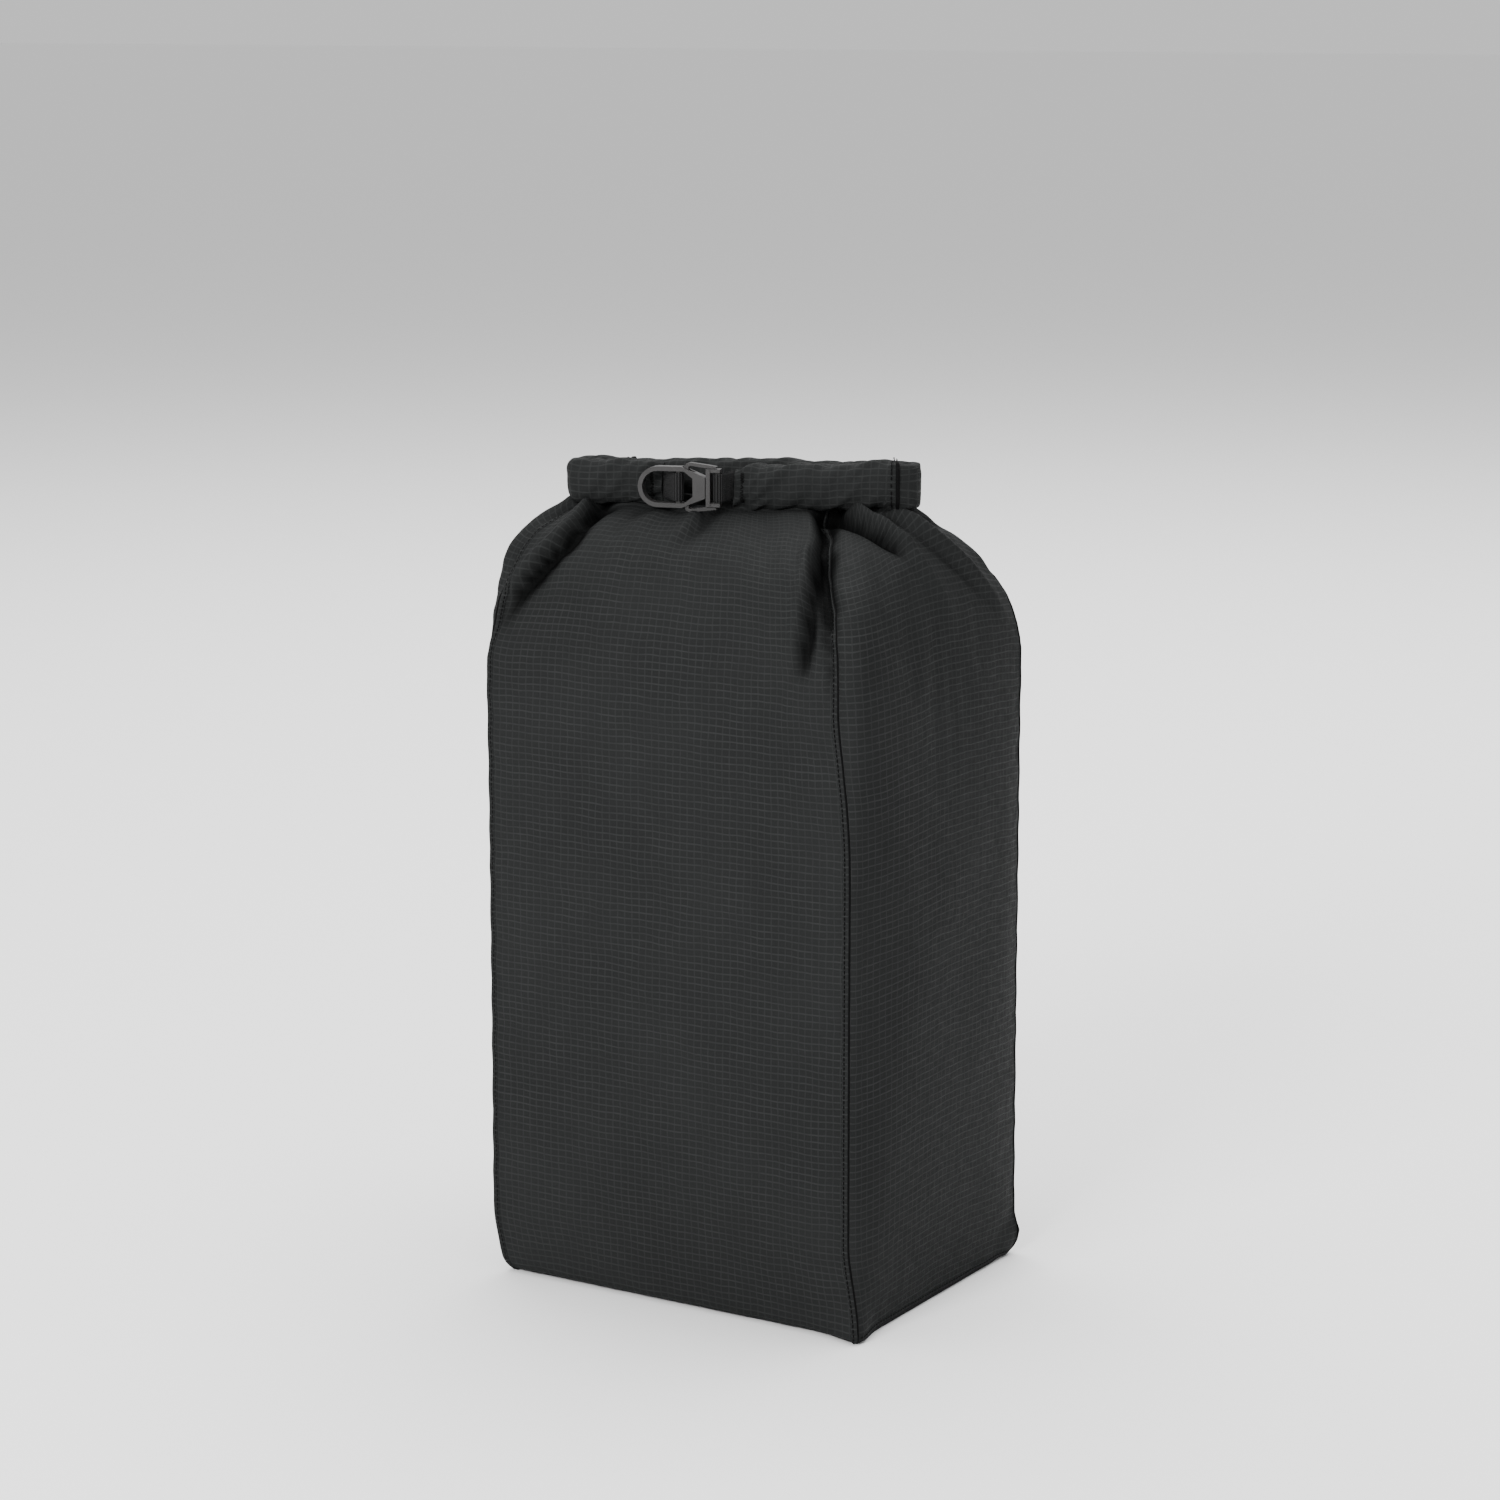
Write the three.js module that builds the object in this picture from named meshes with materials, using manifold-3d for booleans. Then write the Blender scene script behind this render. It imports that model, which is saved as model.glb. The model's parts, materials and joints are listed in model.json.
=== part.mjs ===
// A roll-top compression sack of about 35 litres, standing full and closed.
// One long main panel runs down the front, under the base and up the back, and a side gusset is sewn into
// each side of it. The mouth is a collar rolled down three turns round two stiffener strips. Its ends fold
// forward to meet at the front, where a side-release buckle on two webbing tabs holds them as a loop.
//
// Units are millimetres. +Z is up, the front faces -Y, and the origin is on the floor under the middle.

import * as THREE from 'three';
import { mergeVertices } from 'three/addons/utils/BufferGeometryUtils.js';
import Module from 'manifold-3d';

const wasm = await Module();
wasm.setup();

// ---- Driving dimensions ----

const SEAM_HALF_WIDTH = 151; // from the middle to a side seam, on the straight part of the walls
const SEAM_HALF_DEPTH = 117;
const FRONT_CROWN = 4; // how far the filled front and back swell beyond their seams
const SIDE_CROWN = 3;
const SWELL_HEIGHT = 170; // below this the swelling fades out towards the base
const SHOULDER_HEIGHT = 492; // where the walls start to lean in
const NECK_HEIGHT = 548; // where the leaning walls end, below the rolled collar
const NECK_ANGLE = THREE.MathUtils.degToRad(76); // how far the walls have leaned over by then
const NECK_HALF_LENGTH = 112;
const NECK_HALF_THICKNESS = 17;
const BASE_EDGE_RADIUS = 8;
const BASE_SIDE_LIFT = 4; // the base is flat over its middle half, and rises this much to each side seam
const FABRIC = 1.5; // every fabric wall is modelled this thick
const PLAY = 0.4; // left between pieces that touch
const SEAM_TAPE_WIDTH = 16;

const LOOP_CENTRE = [-4, -14];
const LOOP_TURN = THREE.MathUtils.degToRad(18); // the loop's right end lies this far towards the back
const ROLL_LENGTH = 266; // end to end of the folded loop
const ROLL_THICKNESS = 22;
const ROLL_HEIGHT = 34;
const ROLL_CENTRE_HEIGHT = 582;
const LOOP_GAP = 3; // between the back run and the two front arms
const WRAP_GAP = 0.8; // between the outer and the inner turn
const OUTER_WALL = 2.6;
const INNER_WALL = 1.8;
const STIFFENER_THICKNESS = 1.2;
const STIFFENER_WIDTH = 18;
const WEBBING_WIDTH = 20;
const WEBBING_THICKNESS = 1.4;

const BUCKLE_THICKNESS = 8;
const BUCKLE_STANDOFF = 2; // between the roll's front face and the buckle's back
const RECEIVER_LENGTH = 49;
const BAR_HALF = 1.5; // half the side of each square bar that a webbing tab goes round
const RECEIVER_LEFT = -70; // the receiver's outer end along the loop

// ---- Where things follow from those ----

const rollRun = (ROLL_THICKNESS + LOOP_GAP) / 2; // the roll's centre line is this far from the loop's middle
const rollStraight = ROLL_LENGTH / 2 - rollRun - ROLL_THICKNESS / 2;
const buckleY = -rollRun - ROLL_THICKNESS / 2 - BUCKLE_STANDOFF - BUCKLE_THICKNESS / 2;
const receiverBarX = RECEIVER_LEFT + 29;
const receiverMouthX = RECEIVER_LEFT + RECEIVER_LENGTH;
const latchBarX = receiverMouthX + 8.6;
const leftTipX = RECEIVER_LEFT + 14; // where the left arm of the roll ends, behind the receiver's ring
const rightTipX = latchBarX + 8;

// ---- Materials ----

const ripstop = new THREE.MeshStandardMaterial({ color: 0x232425, roughness: 0.72 });
const tape = new THREE.MeshStandardMaterial({ color: 0x3a3b3d, roughness: 0.5 });
const thread = new THREE.MeshStandardMaterial({ color: 0x0c0c0d, roughness: 0.8 });
const webbing = new THREE.MeshStandardMaterial({ color: 0x18181a, roughness: 0.85 });
const acetal = new THREE.MeshStandardMaterial({ color: 0x3a3839, roughness: 0.42 });
const stiffener = new THREE.MeshStandardMaterial({ color: 0x8a8c8e, roughness: 0.5 });

// ---- Helpers ----

function named(name, geometry, material) {
  const mesh = new THREE.Mesh(geometry, material);
  mesh.name = name;
  return mesh;
}

function geometryOf(points, triangles) {
  const geometry = new THREE.BufferGeometry();
  geometry.setAttribute('position', new THREE.Float32BufferAttribute(points.flatMap((p) => p.toArray()), 3));
  geometry.setIndex(triangles.flat());
  return geometry;
}

// A closed sheet of the given thickness under the surface that pointAt(s, t) describes, s and t from 0 to 1.
// inset pushes the whole sheet in below the surface. facing is 1 or -1, for the side that is outside.
function sheetSolid(pointAt, rows, columns, { thickness = FABRIC, inset = 0, facing = 1 }) {
  const points = [];
  const layer = (depth) => {
    for (let i = 0; i <= rows; i++) {
      for (let j = 0; j <= columns; j++) {
        const [s, t] = [i / rows, j / columns];
        points.push(pointAt(s, t).addScaledVector(normalOf(pointAt, s, t), -depth * facing));
      }
    }
  };
  layer(inset);
  layer(inset + thickness);
  const outer = (i, j) => i * (columns + 1) + j;
  const inner = (i, j) => outer(i, j) + (rows + 1) * (columns + 1);
  const triangles = [];
  const quad = (a, b, c, d) => {
    const corners = facing > 0 ? [a, b, c, d] : [d, c, b, a];
    triangles.push([corners[0], corners[1], corners[2]], [corners[0], corners[2], corners[3]]);
  };
  for (let i = 0; i < rows; i++) {
    for (let j = 0; j < columns; j++) {
      quad(outer(i, j), outer(i + 1, j), outer(i + 1, j + 1), outer(i, j + 1));
      quad(inner(i, j), inner(i, j + 1), inner(i + 1, j + 1), inner(i + 1, j));
    }
    quad(outer(i + 1, 0), outer(i, 0), inner(i, 0), inner(i + 1, 0));
    quad(outer(i, columns), outer(i + 1, columns), inner(i + 1, columns), inner(i, columns));
  }
  for (let j = 0; j < columns; j++) {
    quad(outer(0, j), outer(0, j + 1), inner(0, j + 1), inner(0, j));
    quad(outer(rows, j + 1), outer(rows, j), inner(rows, j), inner(rows, j + 1));
  }
  return geometryOf(points, triangles);
}

// A flat path of [x, y] points moved sideways, to the right of the way it runs.
function offsetPath(path, distance) {
  return path.map(([x, y], k) => {
    const [xa, ya] = path[Math.max(k - 1, 0)];
    const [xb, yb] = path[Math.min(k + 1, path.length - 1)];
    const length = Math.hypot(xb - xa, yb - ya);
    return [x + ((yb - ya) / length) * distance, y - ((xb - xa) / length) * distance];
  });
}

// A closed tube wall swept along a flat path of [x, y] points. Each section is a loop of [across, up] points.
function sweptWall(path, outerSection, innerSection) {
  const count = outerSection.length;
  const lanes = [...outerSection, ...innerSection].map(([across, up]) => (
    offsetPath(path, across).map(([x, y]) => new THREE.Vector3(x, y, up))
  ));
  const points = path.flatMap((_, k) => lanes.map((lane) => lane[k]));
  const at = (k, j, wall) => k * 2 * count + wall * count + (j % count);
  const triangles = [];
  const quad = (a, b, c, d) => triangles.push([a, b, c], [a, c, d]);
  for (let j = 0; j < count; j++) {
    for (let k = 0; k < path.length - 1; k++) {
      quad(at(k, j, 0), at(k + 1, j, 0), at(k + 1, j + 1, 0), at(k, j + 1, 0));
      quad(at(k, j, 1), at(k, j + 1, 1), at(k + 1, j + 1, 1), at(k + 1, j, 1));
    }
    const last = path.length - 1;
    quad(at(0, j, 0), at(0, j + 1, 0), at(0, j + 1, 1), at(0, j, 1));
    quad(at(last, j, 1), at(last, j + 1, 1), at(last, j + 1, 0), at(last, j, 0));
  }
  return geometryOf(points, triangles);
}

// A band of constant thickness along a flat path of [x, y] points, standing `width` tall about z = 0.
function standingBand(path, thickness, width) {
  const edges = [...offsetPath(path, -thickness / 2), ...offsetPath(path, thickness / 2).reverse()];
  const geometry = new THREE.ExtrudeGeometry(outline(edges), { depth: width, bevelEnabled: false });
  return geometry.translate(0, 0, -width / 2);
}

// A plate cut from an outline drawn in x and z, `thickness` deep in y about y = 0.
function plate(shape, thickness) {
  const geometry = new THREE.ExtrudeGeometry(shape, { depth: thickness, bevelEnabled: false });
  return geometry.rotateX(Math.PI / 2).translate(0, thickness / 2, 0);
}

function block(x0, x1, thickness, z0, z1) {
  const geometry = new THREE.BoxGeometry(x1 - x0, thickness, z1 - z0);
  return geometry.translate((x0 + x1) / 2, 0, (z0 + z1) / 2);
}

function outline(points) {
  return new THREE.Shape(points.map(([x, z]) => new THREE.Vector2(x, z)));
}

// The left half of a ring's edge, from its top round to its bottom, as [x, z] points.
function leftArc(centre, radius, steps) {
  return [...Array(steps + 1).keys()].map((k) => {
    const angle = Math.PI / 2 + (k / steps) * Math.PI;
    return [centre + radius * Math.cos(angle), radius * Math.sin(angle)];
  });
}

function solid(geometry) {
  geometry.deleteAttribute('normal');
  geometry.deleteAttribute('uv');
  const merged = mergeVertices(geometry, 1e-4);
  return new wasm.Manifold(new wasm.Mesh({
    numProp: 3,
    vertProperties: new Float32Array(merged.attributes.position.array),
    triVerts: new Uint32Array(merged.index.array),
  }));
}

function geometryFrom(manifold) {
  const mesh = manifold.getMesh();
  const geometry = new THREE.BufferGeometry();
  geometry.setAttribute('position', new THREE.Float32BufferAttribute(Array.from(mesh.vertProperties), 3));
  geometry.setIndex(Array.from(mesh.triVerts));
  return geometry;
}

// ---- The filled sack's outer surface ----

// The main panel's length is split into the front wall, the front edge, the base, the back edge and the back
// wall. On a wall, STRAIGHT_SHARE of its rows go to the straight part and the rest to the shoulder.
const WALL_SHARE = 0.38;
const EDGE_SHARE = 0.05;
const STRAIGHT_SHARE = 0.5;

// A row of the walls, by its share of the way up: its height and how far it has come in to the neck.
function wallRow(share) {
  if (share < STRAIGHT_SHARE) {
    return { z: THREE.MathUtils.lerp(BASE_EDGE_RADIUS, SHOULDER_HEIGHT, share / STRAIGHT_SHARE), lean: 0 };
  }
  const angle = ((share - STRAIGHT_SHARE) / (1 - STRAIGHT_SHARE)) * NECK_ANGLE;
  const rise = Math.sin(angle) / Math.sin(NECK_ANGLE);
  const lean = (1 - Math.cos(angle)) / (1 - Math.cos(NECK_ANGLE));
  return { z: THREE.MathUtils.lerp(SHOULDER_HEIGHT, NECK_HEIGHT, rise), lean };
}

// A point of the neck's edge in plan: u runs along the loop from -1 to 1, side is -1 in front and 1 behind.
function neckPoint(u, side) {
  const point = new THREE.Vector2(u * NECK_HALF_LENGTH, side * NECK_HALF_THICKNESS);
  return point.rotateAround(new THREE.Vector2(), LOOP_TURN).add(new THREE.Vector2(...LOOP_CENTRE));
}

// A point of the front (side -1) or back (side 1) wall; u runs from -1 at the left seam to 1 at the right.
function wallPoint(share, u, side) {
  const { z, lean } = wallRow(share);
  const swell = FRONT_CROWN * (1 - u * u) * THREE.MathUtils.smootherstep(z, 0, SWELL_HEIGHT);
  const low = new THREE.Vector2(u * SEAM_HALF_WIDTH, side * (SEAM_HALF_DEPTH + swell));
  const point = low.lerp(neckPoint(u, side), lean);
  return new THREE.Vector3(point.x, point.y, z);
}

// A point of the base, or of the rounded edge in front of it or behind it.
function basePoint(u, share) {
  const lift = BASE_SIDE_LIFT * Math.max(2 * Math.abs(u) - 1, 0) ** 2;
  const flat = SEAM_HALF_DEPTH - BASE_EDGE_RADIUS;
  const length = 1 - 2 * WALL_SHARE;
  const nearest = Math.min(share, length - share);
  const side = share < length / 2 ? -1 : 1;
  if (nearest < EDGE_SHARE) {
    const angle = ((nearest / EDGE_SHARE) * Math.PI) / 2;
    const y = side * (flat + BASE_EDGE_RADIUS * Math.cos(angle));
    const z = BASE_EDGE_RADIUS * (1 - Math.sin(angle)) + lift * Math.sin(angle);
    return new THREE.Vector3(u * SEAM_HALF_WIDTH, y, z);
  }
  const across = (share - EDGE_SHARE) / (length - 2 * EDGE_SHARE);
  return new THREE.Vector3(u * SEAM_HALF_WIDTH, THREE.MathUtils.lerp(-flat, flat, across), lift);
}

function mainPanelPoint(s, t) {
  const u = 2 * t - 1;
  if (s < WALL_SHARE) return wallPoint(1 - s / WALL_SHARE, u, -1);
  if (s > 1 - WALL_SHARE) return wallPoint(1 - (1 - s) / WALL_SHARE, u, 1);
  return basePoint(u, s - WALL_SHARE);
}

// The way a surface faces at a point, as a unit vector.
function normalOf(pointAt, s, t) {
  const step = 1e-3;
  const along = pointAt(Math.min(s + step, 1), t).sub(pointAt(Math.max(s - step, 0), t));
  const across = pointAt(s, Math.min(t + step, 1)).sub(pointAt(s, Math.max(t - step, 0)));
  return along.cross(across).normalize();
}

// A gusset spans between the main panel's front and back edges, just inside them, and swells outwards.
function gussetSurface(side) {
  const lowest = WALL_SHARE + 0.6 * EDGE_SHARE; // part of the way round the rounded edge
  const highest = 0.012; // just short of the neck
  const edge = side > 0 ? 1 : 0;
  const seam = (s) => {
    const outward = normalOf(mainPanelPoint, s, edge);
    return mainPanelPoint(s, edge).addScaledVector(outward, -FABRIC - PLAY);
  };
  return (s, t) => {
    const share = THREE.MathUtils.lerp(lowest, highest, s);
    const front = seam(share);
    const back = seam(1 - share);
    const fade = THREE.MathUtils.smootherstep(front.z, 0, SWELL_HEIGHT) * (1 - s ** 4);
    const swell = SIDE_CROWN * 4 * t * (1 - t) * fade;
    const point = front.lerp(back, t);
    point.x += side * swell;
    return point;
  };
}

// ---- The sack ----

const MAIN_ROWS = 80;

function mainPanel() {
  return sheetSolid(mainPanelPoint, MAIN_ROWS, 8, { facing: 1 });
}

function gusset(side) {
  return sheetSolid(gussetSurface(side), 24, 10, { facing: -side });
}

// The tape that seals a gusset's seam runs down its front edge, along its bottom and up its back edge.
function seamTape(side) {
  const surface = gussetSurface(side);
  const depth = 2 * SEAM_HALF_DEPTH;
  const top = 0.6; // the tape ends this far up the gusset, below the shoulder
  const downRows = 16;
  const acrossRows = 6;
  const rows = 2 * downRows + acrossRows;
  const point = (s, t) => {
    const turn = s * rows - rows / 2; // rows before or after the middle of the bottom stretch
    const inner = 2 + SEAM_TAPE_WIDTH * t;
    const climbed = Math.max(Math.abs(turn) - acrossRows / 2, 0) / downRows;
    const height = THREE.MathUtils.lerp(inner / NECK_HEIGHT, top, climbed);
    const span = 0.5 - inner / depth;
    const sweep = THREE.MathUtils.clamp(turn / (acrossRows / 2), -1, 1);
    return surface(height, 0.5 + sweep * span);
  };
  return sheetSolid(point, rows, 1, { thickness: 0.5, inset: FABRIC + PLAY, facing: side });
}

// The topstitch's thread, laid on the main panel just inside its edge.
function topstitch(side) {
  const ends = 2; // rows left clear at each end
  const rows = MAIN_ROWS - 2 * ends;
  const centre = side > 0 ? 0.98 : 0.02;
  const point = (s, t) => mainPanelPoint((ends + s * rows) / MAIN_ROWS, centre + (t - 0.5) * 0.004);
  return sheetSolid(point, rows, 1, { thickness: 0.5, inset: -PLAY - 0.5, facing: 1 });
}

// A rounded section as a loop of [across, up] points.
function roundedSection(width, height, radius) {
  const corners = [[1, 1], [-1, 1], [-1, -1], [1, -1]];
  return corners.flatMap(([sx, sz], k) => [0, 1, 2, 3].map((step) => {
    const angle = ((k + step / 3) * Math.PI) / 2;
    return [
      sx * (width / 2 - radius) + radius * Math.cos(angle),
      sz * (height / 2 - radius) + radius * Math.sin(angle),
    ];
  }));
}

// The collar's unrolled part, standing in the neck's opening and reaching up to the roll.
function collarNeck() {
  const clearance = 8; // room for the collar to tilt in the neck
  const overlap = 4; // it starts this far below the neck's edge
  const half = NECK_HALF_LENGTH - NECK_HALF_THICKNESS;
  const radius = NECK_HALF_THICKNESS - clearance;
  const tall = ROLL_CENTRE_HEIGHT - ROLL_HEIGHT / 2 - NECK_HEIGHT + overlap;
  const steps = 10;
  const oval = (r) => {
    const left = leftArc(-half, r, steps);
    return [...left, ...left.map(([x, y]) => [-x, -y])];
  };
  const shape = outline(oval(radius));
  shape.holes.push(outline(oval(radius - FABRIC)));
  const geometry = new THREE.ExtrudeGeometry(shape, { depth: tall, bevelEnabled: false });
  return geometry.translate(0, 0, -ROLL_HEIGHT / 2 - PLAY - tall);
}

// ---- The rolled collar, in the closure's own frame, whose origin is the middle of the loop ----

// The roll's centre line: from the left tip out along the front, round the left bend, along the back,
// round the right bend and in along the front to the right tip.
function rollPath(shorten = 0) {
  const bend = (side) => [...Array(9).keys()].map((k) => {
    const angle = (k / 8) * Math.PI;
    return [side * (rollStraight + rollRun * Math.sin(angle)), rollRun * Math.cos(angle)];
  });
  const leftTip = [leftTipX - shorten, -rollRun];
  const rightTip = [rightTipX + shorten, -rollRun];
  return [leftTip, ...bend(-1).reverse(), [0, rollRun], ...bend(1), rightTip];
}

const innerThickness = ROLL_THICKNESS - 2 * (OUTER_WALL + WRAP_GAP);
const innerHeight = ROLL_HEIGHT - 2 * (OUTER_WALL + WRAP_GAP);

function rollTurn(thickness, height, wall) {
  const outer = roundedSection(thickness, height, thickness * 0.42);
  const inner = roundedSection(thickness - 2 * wall, height - 2 * wall, (thickness - 2 * wall) * 0.4);
  return sweptWall(rollPath(), outer, inner);
}

function stiffenerStrip(side) {
  const path = offsetPath(rollPath(2), -side * (PLAY + STIFFENER_THICKNESS) / 2);
  return standingBand(path, STIFFENER_THICKNESS, STIFFENER_WIDTH);
}

// ---- The webbing tabs ----

const legOffset = PLAY / 2 + STIFFENER_THICKNESS + PLAY + WEBBING_THICKNESS / 2;
const wrapRadius = BAR_HALF * Math.SQRT2 + PLAY + WEBBING_THICKNESS / 2;

// A tab leaves the roll's tip as two legs and goes once round a buckle bar. way is 1 if the bar is to the
// right of the tip and -1 if it is to the left.
function webbingTab(tipX, barX, way) {
  const buried = 20;
  const turns = 12;
  const slope = Math.atan2(buckleY + rollRun, way * (barX - tipX));
  const path = [[tipX - way * buried, -rollRun - legOffset], [tipX, -rollRun - legOffset]];
  for (let k = 0; k <= turns; k++) {
    const angle = slope - Math.PI / 2 + (k / turns) * Math.PI;
    path.push([barX + way * wrapRadius * Math.cos(angle), buckleY + wrapRadius * Math.sin(angle)]);
  }
  path.push([tipX + way * 1.5, -rollRun + legOffset], [tipX - way * buried, -rollRun + legOffset]);
  return standingBand(path, WEBBING_THICKNESS, WEBBING_WIDTH);
}

// The bar tack that holds a tab in the roll's end, on the roll's front face.
function barTack(tipX, way) {
  const x = tipX - way * 7;
  const geometry = block(x - 1.2, x + 1.2, 0.5, -WEBBING_WIDTH / 2 + 1, WEBBING_WIDTH / 2 - 1);
  return geometry.translate(0, -rollRun - ROLL_THICKNESS / 2 - PLAY - 0.25, 0);
}

// ---- The buckle, flat in x and z, its middle plane at y = 0 ----

const ringRadius = 14.5;
const ringWall = 3.2;
const mouthHalf = 7.5; // the receiver's half height at its mouth
const throatHalf = 6.4; // half the height of the window's narrow end
const socketHalf = 4.7;
const socketDepth = 4.4;
const armThickness = 4.4;
const tongueHalf = 4;
const tongueThickness = 3.6;

function buckleReceiver() {
  const centre = RECEIVER_LEFT + ringRadius;
  const inner = ringRadius - ringWall;
  const ringEnd = receiverBarX - BAR_HALF;
  const taper = [[receiverMouthX - 17, ringRadius], [receiverMouthX - 12.5, ringRadius - 2]];
  taper.push([receiverMouthX, mouthHalf]);
  const mirrored = taper.map(([x, z]) => [x, -z]);
  const body = outline([...leftArc(centre, ringRadius, 14), ...mirrored, ...taper.reverse()]);
  const hole = outline([...leftArc(centre, inner, 14), [ringEnd, -inner], [ringEnd, inner]]);
  body.holes.push(hole);
  let receiver = solid(plate(body, BUCKLE_THICKNESS));
  const barRight = receiverBarX + BAR_HALF;
  const windowEnd = receiverMouthX - 9;
  const window = outline([[barRight, -inner], [barRight + 3.2, -inner], [windowEnd, -throatHalf],
    [windowEnd, throatHalf], [barRight + 3.2, inner], [barRight, inner]]);
  receiver = receiver.subtract(solid(plate(window, BUCKLE_THICKNESS + 2)));
  const barRoom = block(ringEnd - 1, barRight + 1, 2 * BUCKLE_THICKNESS, -inner, inner);
  const bar = block(ringEnd, barRight, 2 * BAR_HALF, -inner - 1, inner + 1);
  receiver = receiver.subtract(solid(barRoom)).add(solid(bar));
  const socket = block(windowEnd - 1, receiverMouthX + 1, socketDepth, -socketHalf, socketHalf);
  receiver = receiver.subtract(solid(socket));
  for (const up of [-1, 1]) {
    const pocket = outline([[receiverMouthX - 17, up * 9.2], [receiverMouthX - 17, up * (ringRadius + 1)],
      [receiverMouthX - 8, up * (ringRadius + 1)], [receiverMouthX - 8, up * 8.4]]);
    receiver = receiver.subtract(solid(plate(pocket, armThickness + 0.6)));
  }
  return geometryFrom(receiver);
}

// The latch's frame: a crosspiece that meets the receiver's mouth, a rail above and below, the webbing bar
// between them, and the tongue that goes into the receiver's socket.
function latchFrame() {
  const half = 13.4;
  const railHeight = 2.4;
  const left = receiverMouthX + 0.6;
  const right = latchBarX + BAR_HALF + 0.6;
  const crosspiece = block(left, left + 3, BUCKLE_THICKNESS, -half, half);
  const rails = [block(left, right, BUCKLE_THICKNESS - 1.2, half - railHeight, half),
    block(left, right, BUCKLE_THICKNESS - 1.2, -half, -half + railHeight)];
  const bar = block(latchBarX - BAR_HALF, latchBarX + BAR_HALF, 2 * BAR_HALF, -half, half);
  const tongue = block(left - 8, left + 1, tongueThickness, -tongueHalf, tongueHalf);
  const pieces = [crosspiece, ...rails, bar, tongue].map(solid);
  return geometryFrom(pieces.reduce((whole, piece) => whole.add(piece)));
}

// A squeeze arm bows out beside the receiver's taper and turns in to a tip in the receiver's pocket.
function squeezeArm(up) {
  const root = receiverMouthX;
  const points = [[root + 0.2, 13.9], [root + 7, 13.9], [root + 8, 15.2], [root + 1, 16.2],
    [root - 11.4, 17.6], [root - 14.2, 16.6], [root - 15.6, 12.8], [root - 14.6, 11],
    [root - 12.6, 11.4], [root - 12.2, 14.8], [root - 10.6, 15.4]];
  return plate(outline(points.map(([x, z]) => [x, up * z])), armThickness);
}

// ---- Assembly ----

const sack = new THREE.Group();
sack.add(
  named('main_panel', mainPanel(), ripstop),
  named('left_gusset', gusset(-1), ripstop),
  named('right_gusset', gusset(1), ripstop),
  named('left_seam_tape', seamTape(-1), tape),
  named('right_seam_tape', seamTape(1), tape),
  named('left_seam_topstitch', topstitch(-1), thread),
  named('right_seam_topstitch', topstitch(1), thread),
);

const closure = new THREE.Group();
closure.position.set(...LOOP_CENTRE, ROLL_CENTRE_HEIGHT);
closure.rotation.z = LOOP_TURN;
closure.add(
  named('collar_neck', collarNeck(), ripstop),
  named('collar_outer_turn', rollTurn(ROLL_THICKNESS, ROLL_HEIGHT, OUTER_WALL), ripstop),
  named('collar_inner_turn', rollTurn(innerThickness, innerHeight, INNER_WALL), ripstop),
  named('front_stiffener', stiffenerStrip(-1), stiffener),
  named('back_stiffener', stiffenerStrip(1), stiffener),
  named('receiver_webbing_tab', webbingTab(leftTipX, receiverBarX, 1), webbing),
  named('latch_webbing_tab', webbingTab(rightTipX, latchBarX, -1), webbing),
  named('receiver_tab_bartack', barTack(leftTipX, 1), thread),
  named('latch_tab_bartack', barTack(rightTipX, -1), thread),
);

const buckle = new THREE.Group();
buckle.position.y = buckleY;
buckle.add(
  named('buckle_receiver', buckleReceiver(), acetal),
  named('latch_frame', latchFrame(), acetal),
  named('upper_squeeze_arm', squeezeArm(1), acetal),
  named('lower_squeeze_arm', squeezeArm(-1), acetal),
);
closure.add(buckle);

const compressionSack = new THREE.Group();
compressionSack.add(sack, closure);

export default compressionSack;
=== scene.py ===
"""A roll-top compression sack in ripstop nylon, standing full, with its collar rolled and clipped into a loop.

Lengths are in metres. +Z is up and the sack's front faces -Y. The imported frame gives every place: the sack's
seams, the collar's loop and the buckle are worked out from its boxes and joints.
"""

import json
import math

import bpy
import numpy as np
from mathutils import Matrix, Vector, noise


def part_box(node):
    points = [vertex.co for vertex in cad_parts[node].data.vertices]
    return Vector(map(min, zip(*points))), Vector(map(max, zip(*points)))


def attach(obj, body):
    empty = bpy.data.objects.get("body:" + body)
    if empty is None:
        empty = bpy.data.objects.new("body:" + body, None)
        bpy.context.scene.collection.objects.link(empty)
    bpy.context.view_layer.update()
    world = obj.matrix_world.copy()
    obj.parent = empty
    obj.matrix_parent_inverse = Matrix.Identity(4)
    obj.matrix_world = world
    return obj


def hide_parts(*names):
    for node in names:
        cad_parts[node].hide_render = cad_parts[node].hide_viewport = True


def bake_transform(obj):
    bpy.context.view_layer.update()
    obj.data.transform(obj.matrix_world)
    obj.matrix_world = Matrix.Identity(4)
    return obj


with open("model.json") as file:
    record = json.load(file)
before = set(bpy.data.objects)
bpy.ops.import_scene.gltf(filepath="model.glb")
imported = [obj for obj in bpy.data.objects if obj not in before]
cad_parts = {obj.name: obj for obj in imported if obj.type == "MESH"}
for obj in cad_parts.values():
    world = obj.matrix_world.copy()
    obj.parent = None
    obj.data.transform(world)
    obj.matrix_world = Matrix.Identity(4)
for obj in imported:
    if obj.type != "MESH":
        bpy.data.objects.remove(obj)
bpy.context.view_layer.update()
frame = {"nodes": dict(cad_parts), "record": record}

bl_info = {
    "name": "Roll-top Compression Sack",
    "version": (1, 0, 0),
    "blender": (4, 5, 0),
    "location": "3D View > Sidebar > Sack",
    "description": "Makes the fabric, seams, rolled collar, webbing and buckle of a roll-top sack",
    "category": "Add Mesh",
}

MM = 0.001
NODES = frame["nodes"]
JOINTS = {joint["name"]: joint for joint in frame["record"]["behaviour"]["joints"]}


# ---- Places read from the frame ----

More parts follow.
